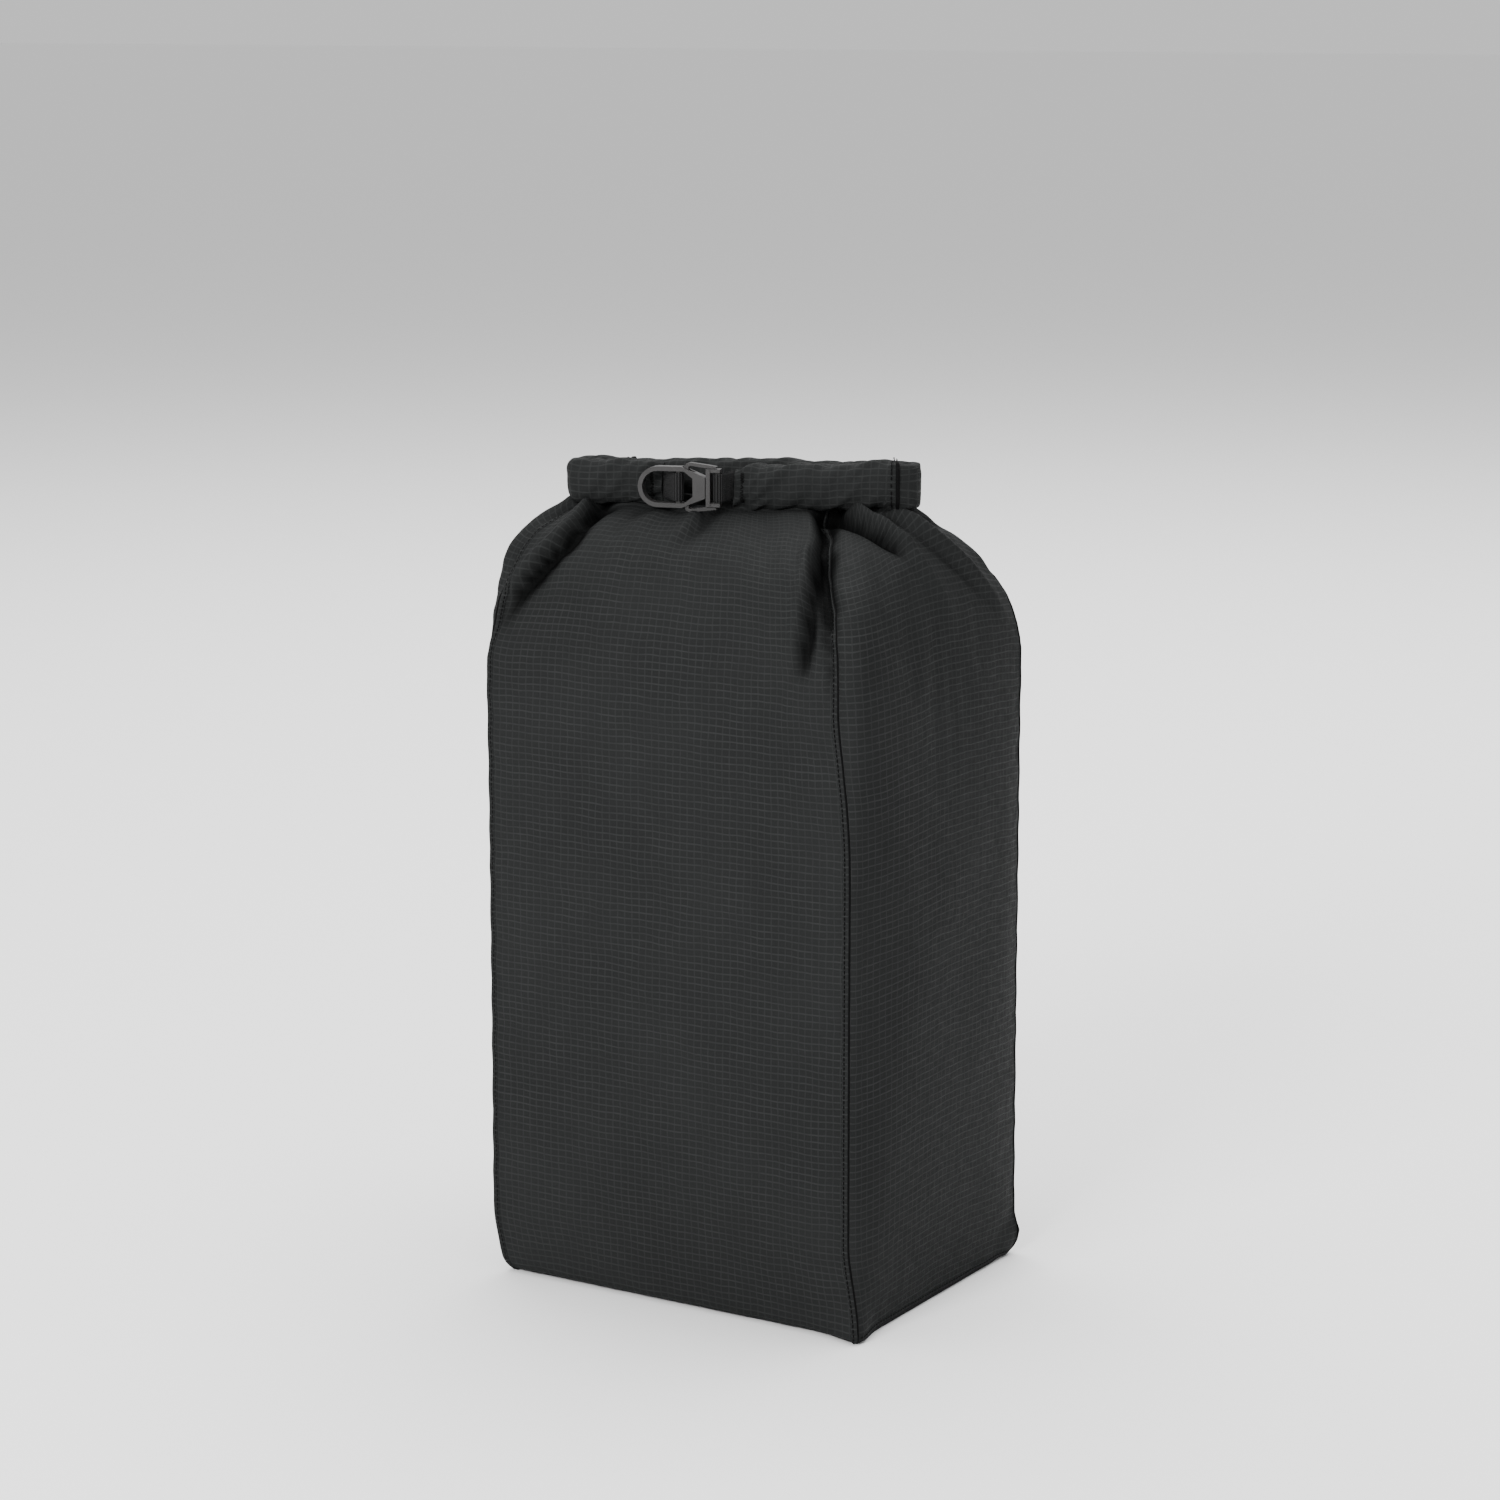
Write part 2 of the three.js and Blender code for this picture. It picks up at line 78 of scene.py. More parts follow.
PANEL_LOW, PANEL_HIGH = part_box("main_panel")
ROLL_LOW, ROLL_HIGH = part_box("collar_outer_turn")
TILT = JOINTS["closure_tilt"]
LOOP_TURN = math.atan2(TILT["axis"][1], TILT["axis"][0])
LOOP_CENTRE = Vector((TILT["pos_m"][0], TILT["pos_m"][1], (ROLL_LOW[2] + ROLL_HIGH[2]) / 2))
LOOP = Matrix.Translation(LOOP_CENTRE) @ Matrix.Rotation(LOOP_TURN, 4, "Z")
LOOP_ROTATION = np.array(LOOP.to_3x3())
HINGE = Vector(TILT["pos_m"])
# The sack's and the collar's bodies and two points by the hinge; a piece given these is baked where it lies and tied
# to neither body.
COLLAR_BEND = ("sack", "closure", HINGE - Vector((0, 0, 40 * MM)), HINGE + Vector((0, 0, 14 * MM)))


def in_loop(node):
    """The lowest and highest corners of a CAD node in the loop's own frame."""
    inverse = LOOP.inverted()
    points = np.array([inverse @ vertex.co for vertex in NODES[node].data.vertices])
    return points.min(axis=0), points.max(axis=0)


ROLL_BOX = in_loop("collar_outer_turn")
RECEIVER_BOX = in_loop("buckle_receiver")
LATCH_BOX = in_loop("latch_frame")


# ---- Small helpers ----


def smooth(x):
    """0 below 0, 1 above 1, and an even rise between."""
    x = np.clip(x, 0, 1)
    return x * x * x * (x * (6 * x - 15) + 10)


def hump(x):
    """1 at 0, falling evenly to 0 on both sides."""
    return np.exp(-x * x)


def ramp(value, low, high):
    """How far value has come from low to high, eased, from 0 to 1."""
    return smooth((value - low) / (high - low))


def noise_at(points, scale, seed):
    """Smooth noise from about -1 to 1 at an array of points, one turn in about scale metres."""
    shift = Vector((17.3 * seed, 5.1 * seed, 9.7 * seed))
    flat = np.asarray(points).reshape(-1, 3)
    values = np.array([noise.noise(Vector(point) / scale + shift) for point in flat])
    return values.reshape(np.asarray(points).shape[:-1])


def unit(vectors):
    """Vectors scaled to a length of 1."""
    return vectors / np.maximum(np.linalg.norm(vectors, axis=-1, keepdims=True), 1e-12)


def travel(line):
    """How far each point of a line lies along it."""
    return np.concatenate([[0], np.linalg.norm(np.diff(line, axis=0), axis=1).cumsum()])


def sample(places, distance, rows):
    """Rows of numbers, known at each distance, read off at other places."""
    return np.stack([np.interp(places, distance, column) for column in rows.T], axis=1)


def relax(line, passes):
    """Evens out a line of points between its ends, in place."""
    for _ in range(passes):
        line[1:-1] = 0.5 * line[1:-1] + 0.25 * (line[2:] + line[:-2])
    return line


def relax_round(ring, passes, axis=0):
    """Evens out values that run round and meet themselves."""
    for _ in range(passes):
        ring = 0.5 * ring + 0.25 * (np.roll(ring, 1, axis=axis) + np.roll(ring, -1, axis=axis))
    return ring


def even_line(corners, spacing, passes=0):
    """A line through corners, evenly spaced and then evened out: its points, directions and distances."""
    distance = travel(corners)
    even = np.linspace(0, distance[-1], int(distance[-1] / spacing))
    points = relax(sample(even, distance, corners), passes)
    return points, unit(np.gradient(points, axis=0)), even


def uv_grid(u, v):
    """One array of u and v from two arrays that each lack a direction of the grid."""
    return np.stack(np.broadcast_arrays(u, v), axis=-1)


def mesh_object(name, vertices, faces, uvs=None):
    """A new mesh object. uvs gives each vertex its place on the flat cloth, in metres."""
    mesh = bpy.data.meshes.new(name)
    mesh.from_pydata([tuple(v) for v in vertices], [], [tuple(int(i) for i in f) for f in faces])
    if uvs is not None:
        layer = mesh.uv_layers.new(name="cloth")
        corner_vertices = np.empty(len(mesh.loops), np.int32)
        mesh.loops.foreach_get("vertex_index", corner_vertices)
        layer.data.foreach_set("uv", np.asarray(uvs, np.float32)[corner_vertices].ravel())
    mesh.polygons.foreach_set("use_smooth", np.ones(len(mesh.polygons), bool))
    mesh.update()
    piece = bpy.data.objects.new(name, mesh)
    bpy.context.scene.collection.objects.link(piece)
    return piece


def grid_faces(rows, columns):
    """The quads of a grid whose vertices run along each row of columns + 1 points."""
    first = np.arange(rows)[:, None] * (columns + 1) + np.arange(columns)[None, :]
    first = first.ravel()
    return np.stack([first, first + 1, first + columns + 2, first + columns + 1], axis=1)


def grid_object(name, points, uvs):
    """A mesh object from an array of rows by columns by x, y, z, and a matching array of u, v."""
    rows, columns = points.shape[:2]
    return mesh_object(name, points.reshape(-1, 3), grid_faces(rows - 1, columns - 1), uvs.reshape(-1, 2))


def tube_faces(rows, around):
    """The quads of a tube whose vertices run round each row."""
    row = np.arange(rows)[:, None] * around
    here = np.arange(around)[None, :]
    there = (here + 1) % around
    quads = np.stack([row + here, row + there, row + around + there, row + around + here], axis=-1)
    return quads.reshape(-1, 4)


def to_frame(points):
    """Points given in the loop's own frame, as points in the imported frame."""
    return np.asarray(points) @ LOOP_ROTATION.T + np.array(LOOP.translation)


def finish_piece(piece, material, slot, *replaced, rides=COLLAR_BEND, thickness=0.0, subdivide=0):
    """Gives a piece its material, hides the CAD nodes that it stands for, and sets what it rides on. slot is not
    used.

    rides is a body, which the piece is parented to, or two bodies and two points, with which the piece is only baked
    where it lies.
    """
    piece.data.materials.append(material)
    if thickness:
        solidify = piece.modifiers.new("Cloth thickness", "SOLIDIFY")
        solidify.thickness = thickness
        solidify.offset = -1
    if subdivide:
        subdivision = piece.modifiers.new("Smooth cloth", "SUBSURF")
        subdivision.levels = subdivide
        subdivision.render_levels = subdivide
        subdivision.boundary_smooth = "ALL"
    if replaced:
        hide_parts(*replaced)
    if isinstance(rides, str):
        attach(piece, rides)
    else:
        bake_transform(piece)


# ---- The sack's form ----

SEAM_HALF_WIDTH = PANEL_HIGH[0]
SEAM_HALF_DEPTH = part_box("left_gusset")[1][1] + 1.9 * MM
FRONT_CROWN = PANEL_HIGH[1] - SEAM_HALF_DEPTH
SIDE_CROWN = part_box("right_gusset")[1][0] - SEAM_HALF_WIDTH
SHOULDER = PANEL_HIGH[2] - 84 * MM  # where the walls start to lean in
NECK = ROLL_LOW[2] + 1.5 * MM
BASE_RADIUS = 11 * MM
CORNER_REACH = 26 * MM  # how far from a lower corner the cloth is drawn in or out
CORNER_INSETS = (9 * MM, -13 * MM, 4 * MM)  # left corners, front right and back right; below 0 is outwards
CROWN_RISE = 170 * MM  # the height at which the walls bulge fully
LEFT_FULLNESS = (6.5 * MM, 1.0 * MM)  # how far the front's left corner swells to the left, and forwards
CLIMB_UNIT = 60 * MM  # the length that one unit of climb stands for below the shoulder
CLOTH = 0.9 * MM
FRONT_CELLS = 56
SIDE_CELLS = 44
FACE_CELLS = (FRONT_CELLS, SIDE_CELLS, FRONT_CELLS, SIDE_CELLS)  # front, right, back, left
FACE_STARTS = (0, FRONT_CELLS, FRONT_CELLS + SIDE_CELLS, 2 * FRONT_CELLS + SIDE_CELLS)
AROUND = sum(FACE_CELLS)
GUSSET_FACES = {"right": 1, "left": 3}
FRONT_COLUMNS = np.arange(FRONT_CELLS + 1)
BACK_COLUMNS = (FACE_STARTS[2] + FRONT_CELLS - FRONT_COLUMNS) % AROUND  # those that lie behind the front's
SHOULDER_ROWS = 44
THROAT_ROWS = 4


def gusset_columns(face):
    """The columns across a gusset, from one seam to the other."""
    return (FACE_STARTS[face] + np.arange(SIDE_CELLS + 1)) % AROUND


def around_columns():
    """Each column's face (0 front, 1 right, 2 back, 3 left) and its share of the way across that face."""
    faces = np.concatenate([np.full(cells, face) for face, cells in enumerate(FACE_CELLS)])
    shares = np.concatenate([np.arange(cells) / cells for cells in FACE_CELLS])
    return faces, shares


def straight_outline(faces, shares, z):
    """The straight walls' outline at height z, as x and y."""
    across = 2 * shares - 1
    fade = smooth(z / CROWN_RISE)
    tuck = BASE_RADIUS - np.sqrt(BASE_RADIUS**2 - np.clip(BASE_RADIUS - z, 0, BASE_RADIUS) ** 2)
    width = SEAM_HALF_WIDTH - 3 * MM * smooth(1 - z / (9 * MM))
    depth = SEAM_HALF_DEPTH - tuck
    front = (across * width, -(depth + FRONT_CROWN * (1 - across**2) * fade))
    side = (width + SIDE_CROWN * (1 - across**2) * fade, across * depth)
    x = np.select([faces == 0, faces == 1, faces == 2], [front[0], side[0], -front[0]], -side[0])
    y = np.select([faces == 0, faces == 1, faces == 2], [front[1], side[1], -front[1]], -side[1])
    cut = 1 - np.sqrt(1 - (1 - np.clip(z / CORNER_REACH, 0, 1)) ** 2)
    near_corner = np.clip(1 - (SEAM_HALF_WIDTH - np.abs(x)) / CORNER_REACH, 0, 1)
    near_corner = near_corner * np.clip(1 - (SEAM_HALF_DEPTH - np.abs(y)) / CORNER_REACH, 0, 1)
    left, front_right, back_right = CORNER_INSETS
    inset = np.where(x < 0, left, np.where(y < 0, front_right, back_right)) * cut * near_corner
    bulge = 2.5 * MM * hump((z - 17 * MM) / (9 * MM))
    inset = inset - np.where(x > 0, bulge, 0) * near_corner
    return x - np.sign(x) * inset, y - np.sign(y) * inset


# Where the mouth's gathered edge lies under the roll: for each seam, how far along the loop it comes to.
NECK_END = 118 * MM
NECK_HALF = 16 * MM
NECK_SEAMS = {"front_left": -118 * MM, "front_right": 62 * MM, "back_right": 88 * MM, "back_left": -104 * MM}


def neck_outline(faces, shares):
    """The gathered edge under the roll, as x and y."""
    bend = NECK_END - NECK_HALF
    lap = 4 * bend + 2 * math.pi * NECK_HALF
    starts = [NECK_SEAMS["front_left"], NECK_SEAMS["front_right"], lap / 2 - NECK_SEAMS["back_right"],
              lap / 2 - NECK_SEAMS["back_left"]]
    ends = starts[1:] + [starts[0] + lap]
    start = np.choose(faces, starts)
    distance = start + (np.choose(faces, ends) - start) * shares
    distance = np.mod(distance + lap / 2, lap) - lap / 2
    turned = np.clip(np.abs(distance) - bend, 0, math.pi * NECK_HALF)
    behind = np.clip(np.abs(distance) - bend - math.pi * NECK_HALF, 0, None)
    x = np.sign(distance) * (np.minimum(np.abs(distance), bend) + NECK_HALF * np.sin(turned / NECK_HALF) - behind)
    y = -NECK_HALF * np.cos(turned / NECK_HALF)
    c, s = math.cos(LOOP_TURN), math.sin(LOOP_TURN)
    return LOOP_CENTRE.x + x * c - y * s, LOOP_CENTRE.y + x * s + y * c


def wall_rows():
    """For every row of the walls from the base up: its height, how far it has come in to the neck, and its climb.

    The climb is 0 where the shoulder starts and 1 at the neck, and it counts down below the shoulder.
    """
    turn = np.linspace(0, 1, 5)[:-1] * math.pi / 2
    foot = BASE_RADIUS * (1 - np.cos(turn))
    straight = np.arange(BASE_RADIUS, SHOULDER - 3 * MM, 7 * MM)
    angle = np.linspace(0, math.radians(80), SHOULDER_ROWS)
    rise = np.sin(angle) / math.sin(angle[-1])
    lean = (1 - np.cos(angle)) / (1 - math.cos(angle[-1]))
    throat = np.linspace(NECK, NECK + 9 * MM, THROAT_ROWS + 1)[1:]
    below = np.concatenate([foot, straight])
    z = np.concatenate([below, SHOULDER + (NECK - SHOULDER) * rise, throat])
    leans = np.concatenate([np.zeros(len(below)), lean, np.ones(THROAT_ROWS)])
    steps = np.arange(1, THROAT_ROWS + 1) / THROAT_ROWS
    climbs = np.concatenate([(below - SHOULDER) / CLIMB_UNIT, angle / angle[-1], 1 + 0.2 * steps])
    return z, leans, climbs


def smooth_form():
    """The sack's form without its folds, as an array of rows by columns by x, y, z."""
    faces, shares = around_columns()
    neck_x, neck_y = neck_outline(faces, shares)
    heights, leans, climbs = wall_rows()
    form = np.zeros((len(heights), AROUND, 3))
    columns = np.arange(AROUND)
    from_left_seam = np.minimum(columns, AROUND - columns)
    boxy = 1 + 0.9 * hump(from_left_seam / 22)  # the left corner leans in the latest
    for row, (z, lean) in enumerate(zip(heights, leans)):
        x, y = straight_outline(faces, shares, z)
        share = lean**boxy
        fullness = smooth(z / (60 * MM)) * hump(from_left_seam / 11)
        x = x - LEFT_FULLNESS[0] * fullness
        y = y - LEFT_FULLNESS[1] * fullness
        form[row, :, 0] = x + (neck_x - x) * share
        form[row, :, 1] = y + (neck_y - y) * share
        form[row, :, 2] = z
    return soften_corners(slide_seam(form, climbs), climbs)


def slide_seam(form, climbs):
    """Both front seams are drawn towards the front's middle where the shoulder starts."""
    columns = np.arange(AROUND)
    from_seam = columns - FACE_STARTS[1]
    from_left_seam = (columns + AROUND / 2) % AROUND - AROUND / 2
    slid = np.empty_like(form)
    for row, climb in enumerate(climbs):
        pull = 1.3 * ramp(climb, -7.5, -6.5) * (1 - ramp(climb, 0.6, 0.95))
        pull += 2.2 * ramp(climb, -2.4, 0.5) * (1 - ramp(climb, 0.45, 0.95))
        left_pull = 3.5 * ramp(climb, -0.1, 0.45) * (1 - ramp(climb, 0.8, 1.0))
        source = columns - pull * hump(from_seam / 10) + left_pull * hump(from_left_seam / 10)
        for axis in range(3):
            slid[row, :, axis] = np.interp(source, columns, form[row, :, axis], period=AROUND)
    return slid


def soften_corners(form, climbs):
    """Rounds the walls' corners a little, and more where they are gathered."""
    rounded = form.copy()
    share = 0.15 + 0.85 * hump((np.arange(AROUND) - FACE_STARTS[1]) / 8)[None, :, None]
    share = np.maximum(share, ramp(np.asarray(climbs), -0.4, 0.5)[:, None, None])
    for row, climb in enumerate(climbs):
        rounded[row] = relax_round(rounded[row], 3 + int(round(8 * ramp(climb, -0.4, 0.7))))
    return form + (rounded - form) * share


def form_normals(form):
    """Outward unit normals of a form."""
    around = np.roll(form, -1, axis=1) - np.roll(form, 1, axis=1)
    return unit(np.cross(around, np.gradient(form, axis=0)))


def place_on(form, climbs, face_place, climb):
    """The point of a form at a face plus a share of the way across it, such as 1.25, and a climb."""
    face = int(face_place) % 4
    column = FACE_STARTS[face] + (face_place - int(face_place)) * FACE_CELLS[face]
    row = np.interp(climb, climbs, np.arange(len(climbs)))
    low_row, low_column = int(row), int(column)
    high_row = min(low_row + 1, len(climbs) - 1)
    r, c = row - low_row, column - low_column
    near, far = low_column % AROUND, (low_column + 1) % AROUND
    lower = form[low_row, near] * (1 - c) + form[low_row, far] * c
    upper = form[high_row, near] * (1 - c) + form[high_row, far] * c
    return lower * (1 - r) + upper * r


# Every fold of the shoulder: its course as (face and share, climb) from the roll outwards, and in mm how wide and
# deep its valley is and how high the cloth stands beside it. The last number is the side of that: 1 or -1, or 0 for
# both.
FOLDS = (
    (((0.09, 1.15), (0.12, 0.95), (0.145, 0.68), (0.095, 0.49), (0.04, 0.30), (0.016, 0.12), (0.004, -0.05)),
     5, 18, 12, -1),
    (((0.975, 1.15), (0.975, 0.85), (0.975, 0.60), (0.98, 0.35), (0.985, 0.0), (0.985, -0.6)), 5, 19, 4, -1),
    (((0.968, 0.66), (0.945, 0.47), (0.915, 0.25), (0.893, 0.05), (0.88, -0.15)), 5, 14, 6, -1),
    (((1.02, 1.15), (1.068, 1.05), (1.205, 0.84), (1.295, 0.74), (1.364, 0.63), (1.41, 0.55)), 5, 18, 13, 1),
    (((1.42, 1.15), (1.46, 1.02), (1.545, 0.72), (1.705, 0.49), (1.886, 0.21), (1.93, 0.0)), 5.5, -11, -5, -1),
    (((1.38, 0.68), (1.42, 0.58), (1.46, 0.45), (1.545, 0.26), (1.58, 0.05)), 5, -5, -2, -1),
    (((1.48, 1.15), (1.60, 1.0), (1.818, 0.79), (1.90, 0.66)), 4.5, 12, 7, 1),
    (((0.56, 1.15), (0.554, 0.98), (0.536, 0.81), (0.50, 0.66), (0.46, 0.42)), 6, 6, 4, -1),
    (((0.30, 1.15), (0.29, 0.90), (0.27, 0.70), (0.25, 0.45)), 8, 3, 1.5, 1),
    (((0.76, 1.15), (0.78, 0.85), (0.78, 0.55), (0.75, 0.30)), 9, 2, 2, 1),
    (((3.965, 1.15), (3.97, 0.85), (3.98, 0.55), (3.99, 0.20)), 4.5, 6, 4, -1),
    (((3.62, 1.15), (3.70, 0.78), (3.76, 0.45), (3.82, 0.10)), 6, 7, 6, 1),
    (((3.30, 1.15), (3.28, 0.75), (3.20, 0.35), (3.12, 0.0)), 6.5, 7, 6, -1),
    (((3.45, 1.15), (3.47, 0.85), (3.44, 0.55)), 6, 5, 3, 0),
    (((3.02, 1.15), (3.00, 0.80), (3.01, 0.40), (3.005, -0.2)), 5, 11, 5, -1),
    (((2.97, 0.95), (2.92, 0.60), (2.87, 0.20), (2.85, -0.15)), 7, 7, 5, -1),
    (((2.02, 1.15), (2.03, 0.80), (2.035, 0.40), (2.02, -0.1)), 5, 10, 5, 1),
    (((2.20, 1.15), (2.23, 0.80), (2.20, 0.40)), 7.5, 5, 3, 1),
    (((2.44, 1.15), (2.46, 0.80), (2.52, 0.45)), 8, 5, 2.5, -1),
    (((2.70, 1.15), (2.68, 0.80), (2.74, 0.45)), 8, 4.5, 3, -1),
)


FOLD_STEPS = 60
FOLD_END_REACH = 6 * MM  # how far a fold carries on past its ends
VALLEY_SHARPNESS = 1.4
RIDGE_PLACE = 1.45  # where the cloth stands highest beside a valley, and how broad that is, in valley widths
RIDGE_WIDTH = 0.85


def carve_folds(form, climbs, strength):
    """Presses the folds into a form. Gives the new form and how far each point moved outwards."""
    normals = form_normals(form)
    height = np.zeros(form.shape[:2])
    for course, width, depth, stand, side in FOLDS:
        corners = np.array([place_on(form, climbs, *place) for place in course])
        share = np.linspace(0, len(course) - 1, FOLD_STEPS)
        line = relax(sample(share, np.arange(len(course)), corners), 12)
        course_way = unit(np.gradient(line, axis=0))
        away = form[:, :, None, :] - line[None, None, :, :]
        nearest = (away**2).sum(axis=3).argmin(axis=2)
        offset = form - line[nearest]
        sideways = (np.cross(normals, course_way[nearest]) * offset).sum(axis=2)
        beyond = np.abs((course_way[nearest] * offset).sum(axis=2)) + np.abs((normals * offset).sum(axis=2))
        tail = nearest / (FOLD_STEPS - 1)
        taper = (1 - smooth((tail - 0.5) / 0.5)) * (1 - 0.3 * tail)
        s = sideways / (width * MM)
        gentle = np.where(s * side < 0, 1.5, 0.85 if side else 1.0)
        profile = -depth * np.exp(-np.abs(s / gentle) ** VALLEY_SHARPNESS)
        for way in ((-1, 1) if side == 0 else (side,)):
            profile = profile + stand * hump((s - RIDGE_PLACE * way) / RIDGE_WIDTH)
        height += profile * MM * taper * hump(beyond / FOLD_END_REACH)
    return form + normals * (height * strength)[..., None], height


def ruffle(form, climbs, strength):
    """Adds the soft unevenness of a filled cloth: slow swells, pulls below the shoulder and puckers by the seams.

    Each part is worked out in mm, and they are added up along the form's normals.
    """
    shares = around_columns()[1]
    normals = form_normals(form)
    climb = np.asarray(climbs)[:, None]
    z = form[..., 2]
    from_seam = np.minimum(shares, 1 - shares)[None, :] * 2 * SEAM_HALF_DEPTH
    clear_of_seam = 1 - hump(from_seam / (14 * MM))
    swell = 1.7 * noise_at(form * np.array([1, 1, 0.6]), 95 * MM, 1) + 0.8 * noise_at(form, 38 * MM, 2)
    pulls = noise_at(form * np.array([1, 1, 0.22]), 26 * MM, 3)
    pulls = 0.5 * pulls * ramp(climb, -4.5, 0.1) * (1 - 0.5 * ramp(climb, 0.4, 1.0))
    crumple = 0.9 * noise_at(form, 13 * MM, 4) * ramp(climb, -0.2, 0.6)
    pucker = np.sin(z / (5.2 * MM) + 1.5 * noise_at(form, 30 * MM, 5))
    pucker = pucker * hump((from_seam - 7 * MM) / (7 * MM)) * 0.6
    foot = 1.8 * hump(z / (22 * MM)) * hump(from_seam / (16 * MM))
    foot = foot + 0.9 * noise_at(form, 20 * MM, 6) * hump(z / (26 * MM))
    low = smooth(z / (7 * MM))
    height = ((swell * clear_of_seam + pulls + crumple) * low + pucker + foot * smooth(z / (3 * MM))) * MM * strength
    return form + normals * height[..., None]


SETTLE_LIMIT = 6 * MM
CLOTH_SETTINGS = {
    "quality": 5,
    "mass": 0.12,
    "tension_stiffness": 25,
    "compression_stiffness": 12,
    "shear_stiffness": 8,
    "bending_stiffness": 0.25,
    "vertex_group_mass": "held",
    "vertex_group_shrink": "loose",
    "shrink_min": 0,
    "use_pressure": True,
    "uniform_pressure_force": 1.6,
}


def settle(form, climbs, folds, frames, give):
    """Lets the walls settle as cloth under the load's push, held at the base, the neck, the seams and the folds."""
    shares = around_columns()[1]
    rows = len(climbs)
    shell = mesh_object("settling_cloth", form.reshape(-1, 3), tube_faces(rows - 1, AROUND))
    from_seam = np.minimum(shares, 1 - shares)[None, :] * np.ones((rows, 1))
    climb = np.asarray(climbs)[:, None] * np.ones((1, AROUND))
    held = np.maximum(1 - ramp(form[..., 2], 4 * MM, 22 * MM), ramp(climb, 0.8, 1.0))
    held = np.maximum(held, 0.35 * (from_seam < 0.02) * (climb < 0.3))
    held = np.maximum(held, 0.7 * ramp(np.abs(folds), 1 * MM, 4 * MM))
    loose = ramp(climb, -0.6, 0.5)
    for name, weights in (("held", held), ("loose", 0.25 + 0.75 * loose)):
        group = shell.vertex_groups.new(name=name)
        for index, weight in enumerate(weights.ravel()):
            if weight > 0.001:
                group.add([index], float(weight), "REPLACE")
    cloth = shell.modifiers.new("Settling", "CLOTH")
    for key, value in CLOTH_SETTINGS.items():
        setattr(cloth.settings, key, value)
    cloth.settings.shrink_max = -give
    cloth.settings.effector_weights.gravity = 0
    cloth.point_cache.frame_start = 1
    cloth.point_cache.frame_end = frames
    scene = bpy.context.scene
    for frame_number in range(1, frames + 1):
        scene.frame_set(frame_number)
    evaluated = shell.evaluated_get(bpy.context.evaluated_depsgraph_get())
    settled = np.empty(rows * AROUND * 3, np.float32)
    evaluated.data.vertices.foreach_get("co", settled)
    mesh = shell.data
    bpy.data.objects.remove(shell)
    bpy.data.meshes.remove(mesh)
    scene.frame_set(1)
    moved = settled.reshape(form.shape).astype(float) - form
    distance = np.linalg.norm(moved, axis=2, keepdims=True)
    return form + moved * (SETTLE_LIMIT * np.tanh(distance / SETTLE_LIMIT) / np.maximum(distance, 1e-9))


# ---- Materials ----

THREAD_PITCH = 0.55 * MM  # from one thread of the weave to the next


class Shader:
    """Builds one material's nodes around a Principled BSDF."""

    def __init__(self, name, **constants):
        self.material = bpy.data.materials.new(name)
        self.material.use_nodes = True
        self.tree = self.material.node_tree
        self.surface = self.tree.nodes["Principled BSDF"]
        for socket, value in constants.items():
            self.surface.inputs[socket.replace("_", " ")].default_value = value

    def node(self, kind, inputs=(), **settings):
        """Adds a node. inputs maps its sockets, by name or number, to numbers or to other nodes' outputs."""
        node = self.tree.nodes.new(kind)
        for key, value in settings.items():
            setattr(node, key, value)
        for key, value in dict(inputs).items():
            if isinstance(value, bpy.types.NodeSocket):
                self.tree.links.new(value, node.inputs[key])
            else:
                node.inputs[key].default_value = value
        return node

    def math(self, operation, a, b=0.0, c=0.0):
        return self.node("ShaderNodeMath", {0: a, 1: b, 2: c}, operation=operation).outputs[0]

    def noise(self, vector, scale, detail=2.0, roughness=0.5):
        inputs = {"Vector": vector, "Scale": scale, "Detail": detail, "Roughness": roughness}
        return self.node("ShaderNodeTexNoise", inputs).outputs["Fac"]

    def spread(self, value, low, high, to_low=0.0, to_high=1.0):
        """value moved from the span low to high into another span, eased and kept inside it."""
        inputs = {"Value": value, "From Min": low, "From Max": high, "To Min": to_low, "To Max": to_high}
        return self.node("ShaderNodeMapRange", inputs, interpolation_type="SMOOTHSTEP").outputs["Result"]

    def mix(self, factor, a, b):
        mixer = self.node("ShaderNodeMix", {0: factor, 6: a, 7: b}, data_type="RGBA")
        return mixer.outputs[2]

    def shades(self, factor, colour, low, high):
        """A colour that varies from low to high times itself."""
        return self.mix(factor, rgba(colour, low), rgba(colour, high))

    def wave(self, place, period):
        return self.math("SINE", self.math("MULTIPLY", place, 2 * math.pi / period))

    def cloth_place(self):
        """The place on the flat cloth: the coordinates together, and each on its own."""
        uv = self.node("ShaderNodeUVMap", uv_map="cloth").outputs["UV"]
        parts = self.node("ShaderNodeSeparateXYZ", {0: uv}).outputs
        return uv, parts["X"], parts["Y"]

    def object_place(self):
        return self.node("ShaderNodeTexCoord").outputs["Object"]

    def finish(self, colour, roughness, height, relief):
        """Joins up the colour, the roughness and a height that stands for relief metres, and gives the material."""
        bump = self.node("ShaderNodeBump", {"Height": height, "Distance": relief, "Strength": 1.0})
        for socket, value in (("Base Color", colour), ("Roughness", roughness), ("Normal", bump.outputs["Normal"])):
            self.tree.links.new(value, self.surface.inputs[socket])
        return self.material


def rgba(colour, gain=1.0):
    return (*(min(1.0, channel * gain) for channel in colour), 1.0)


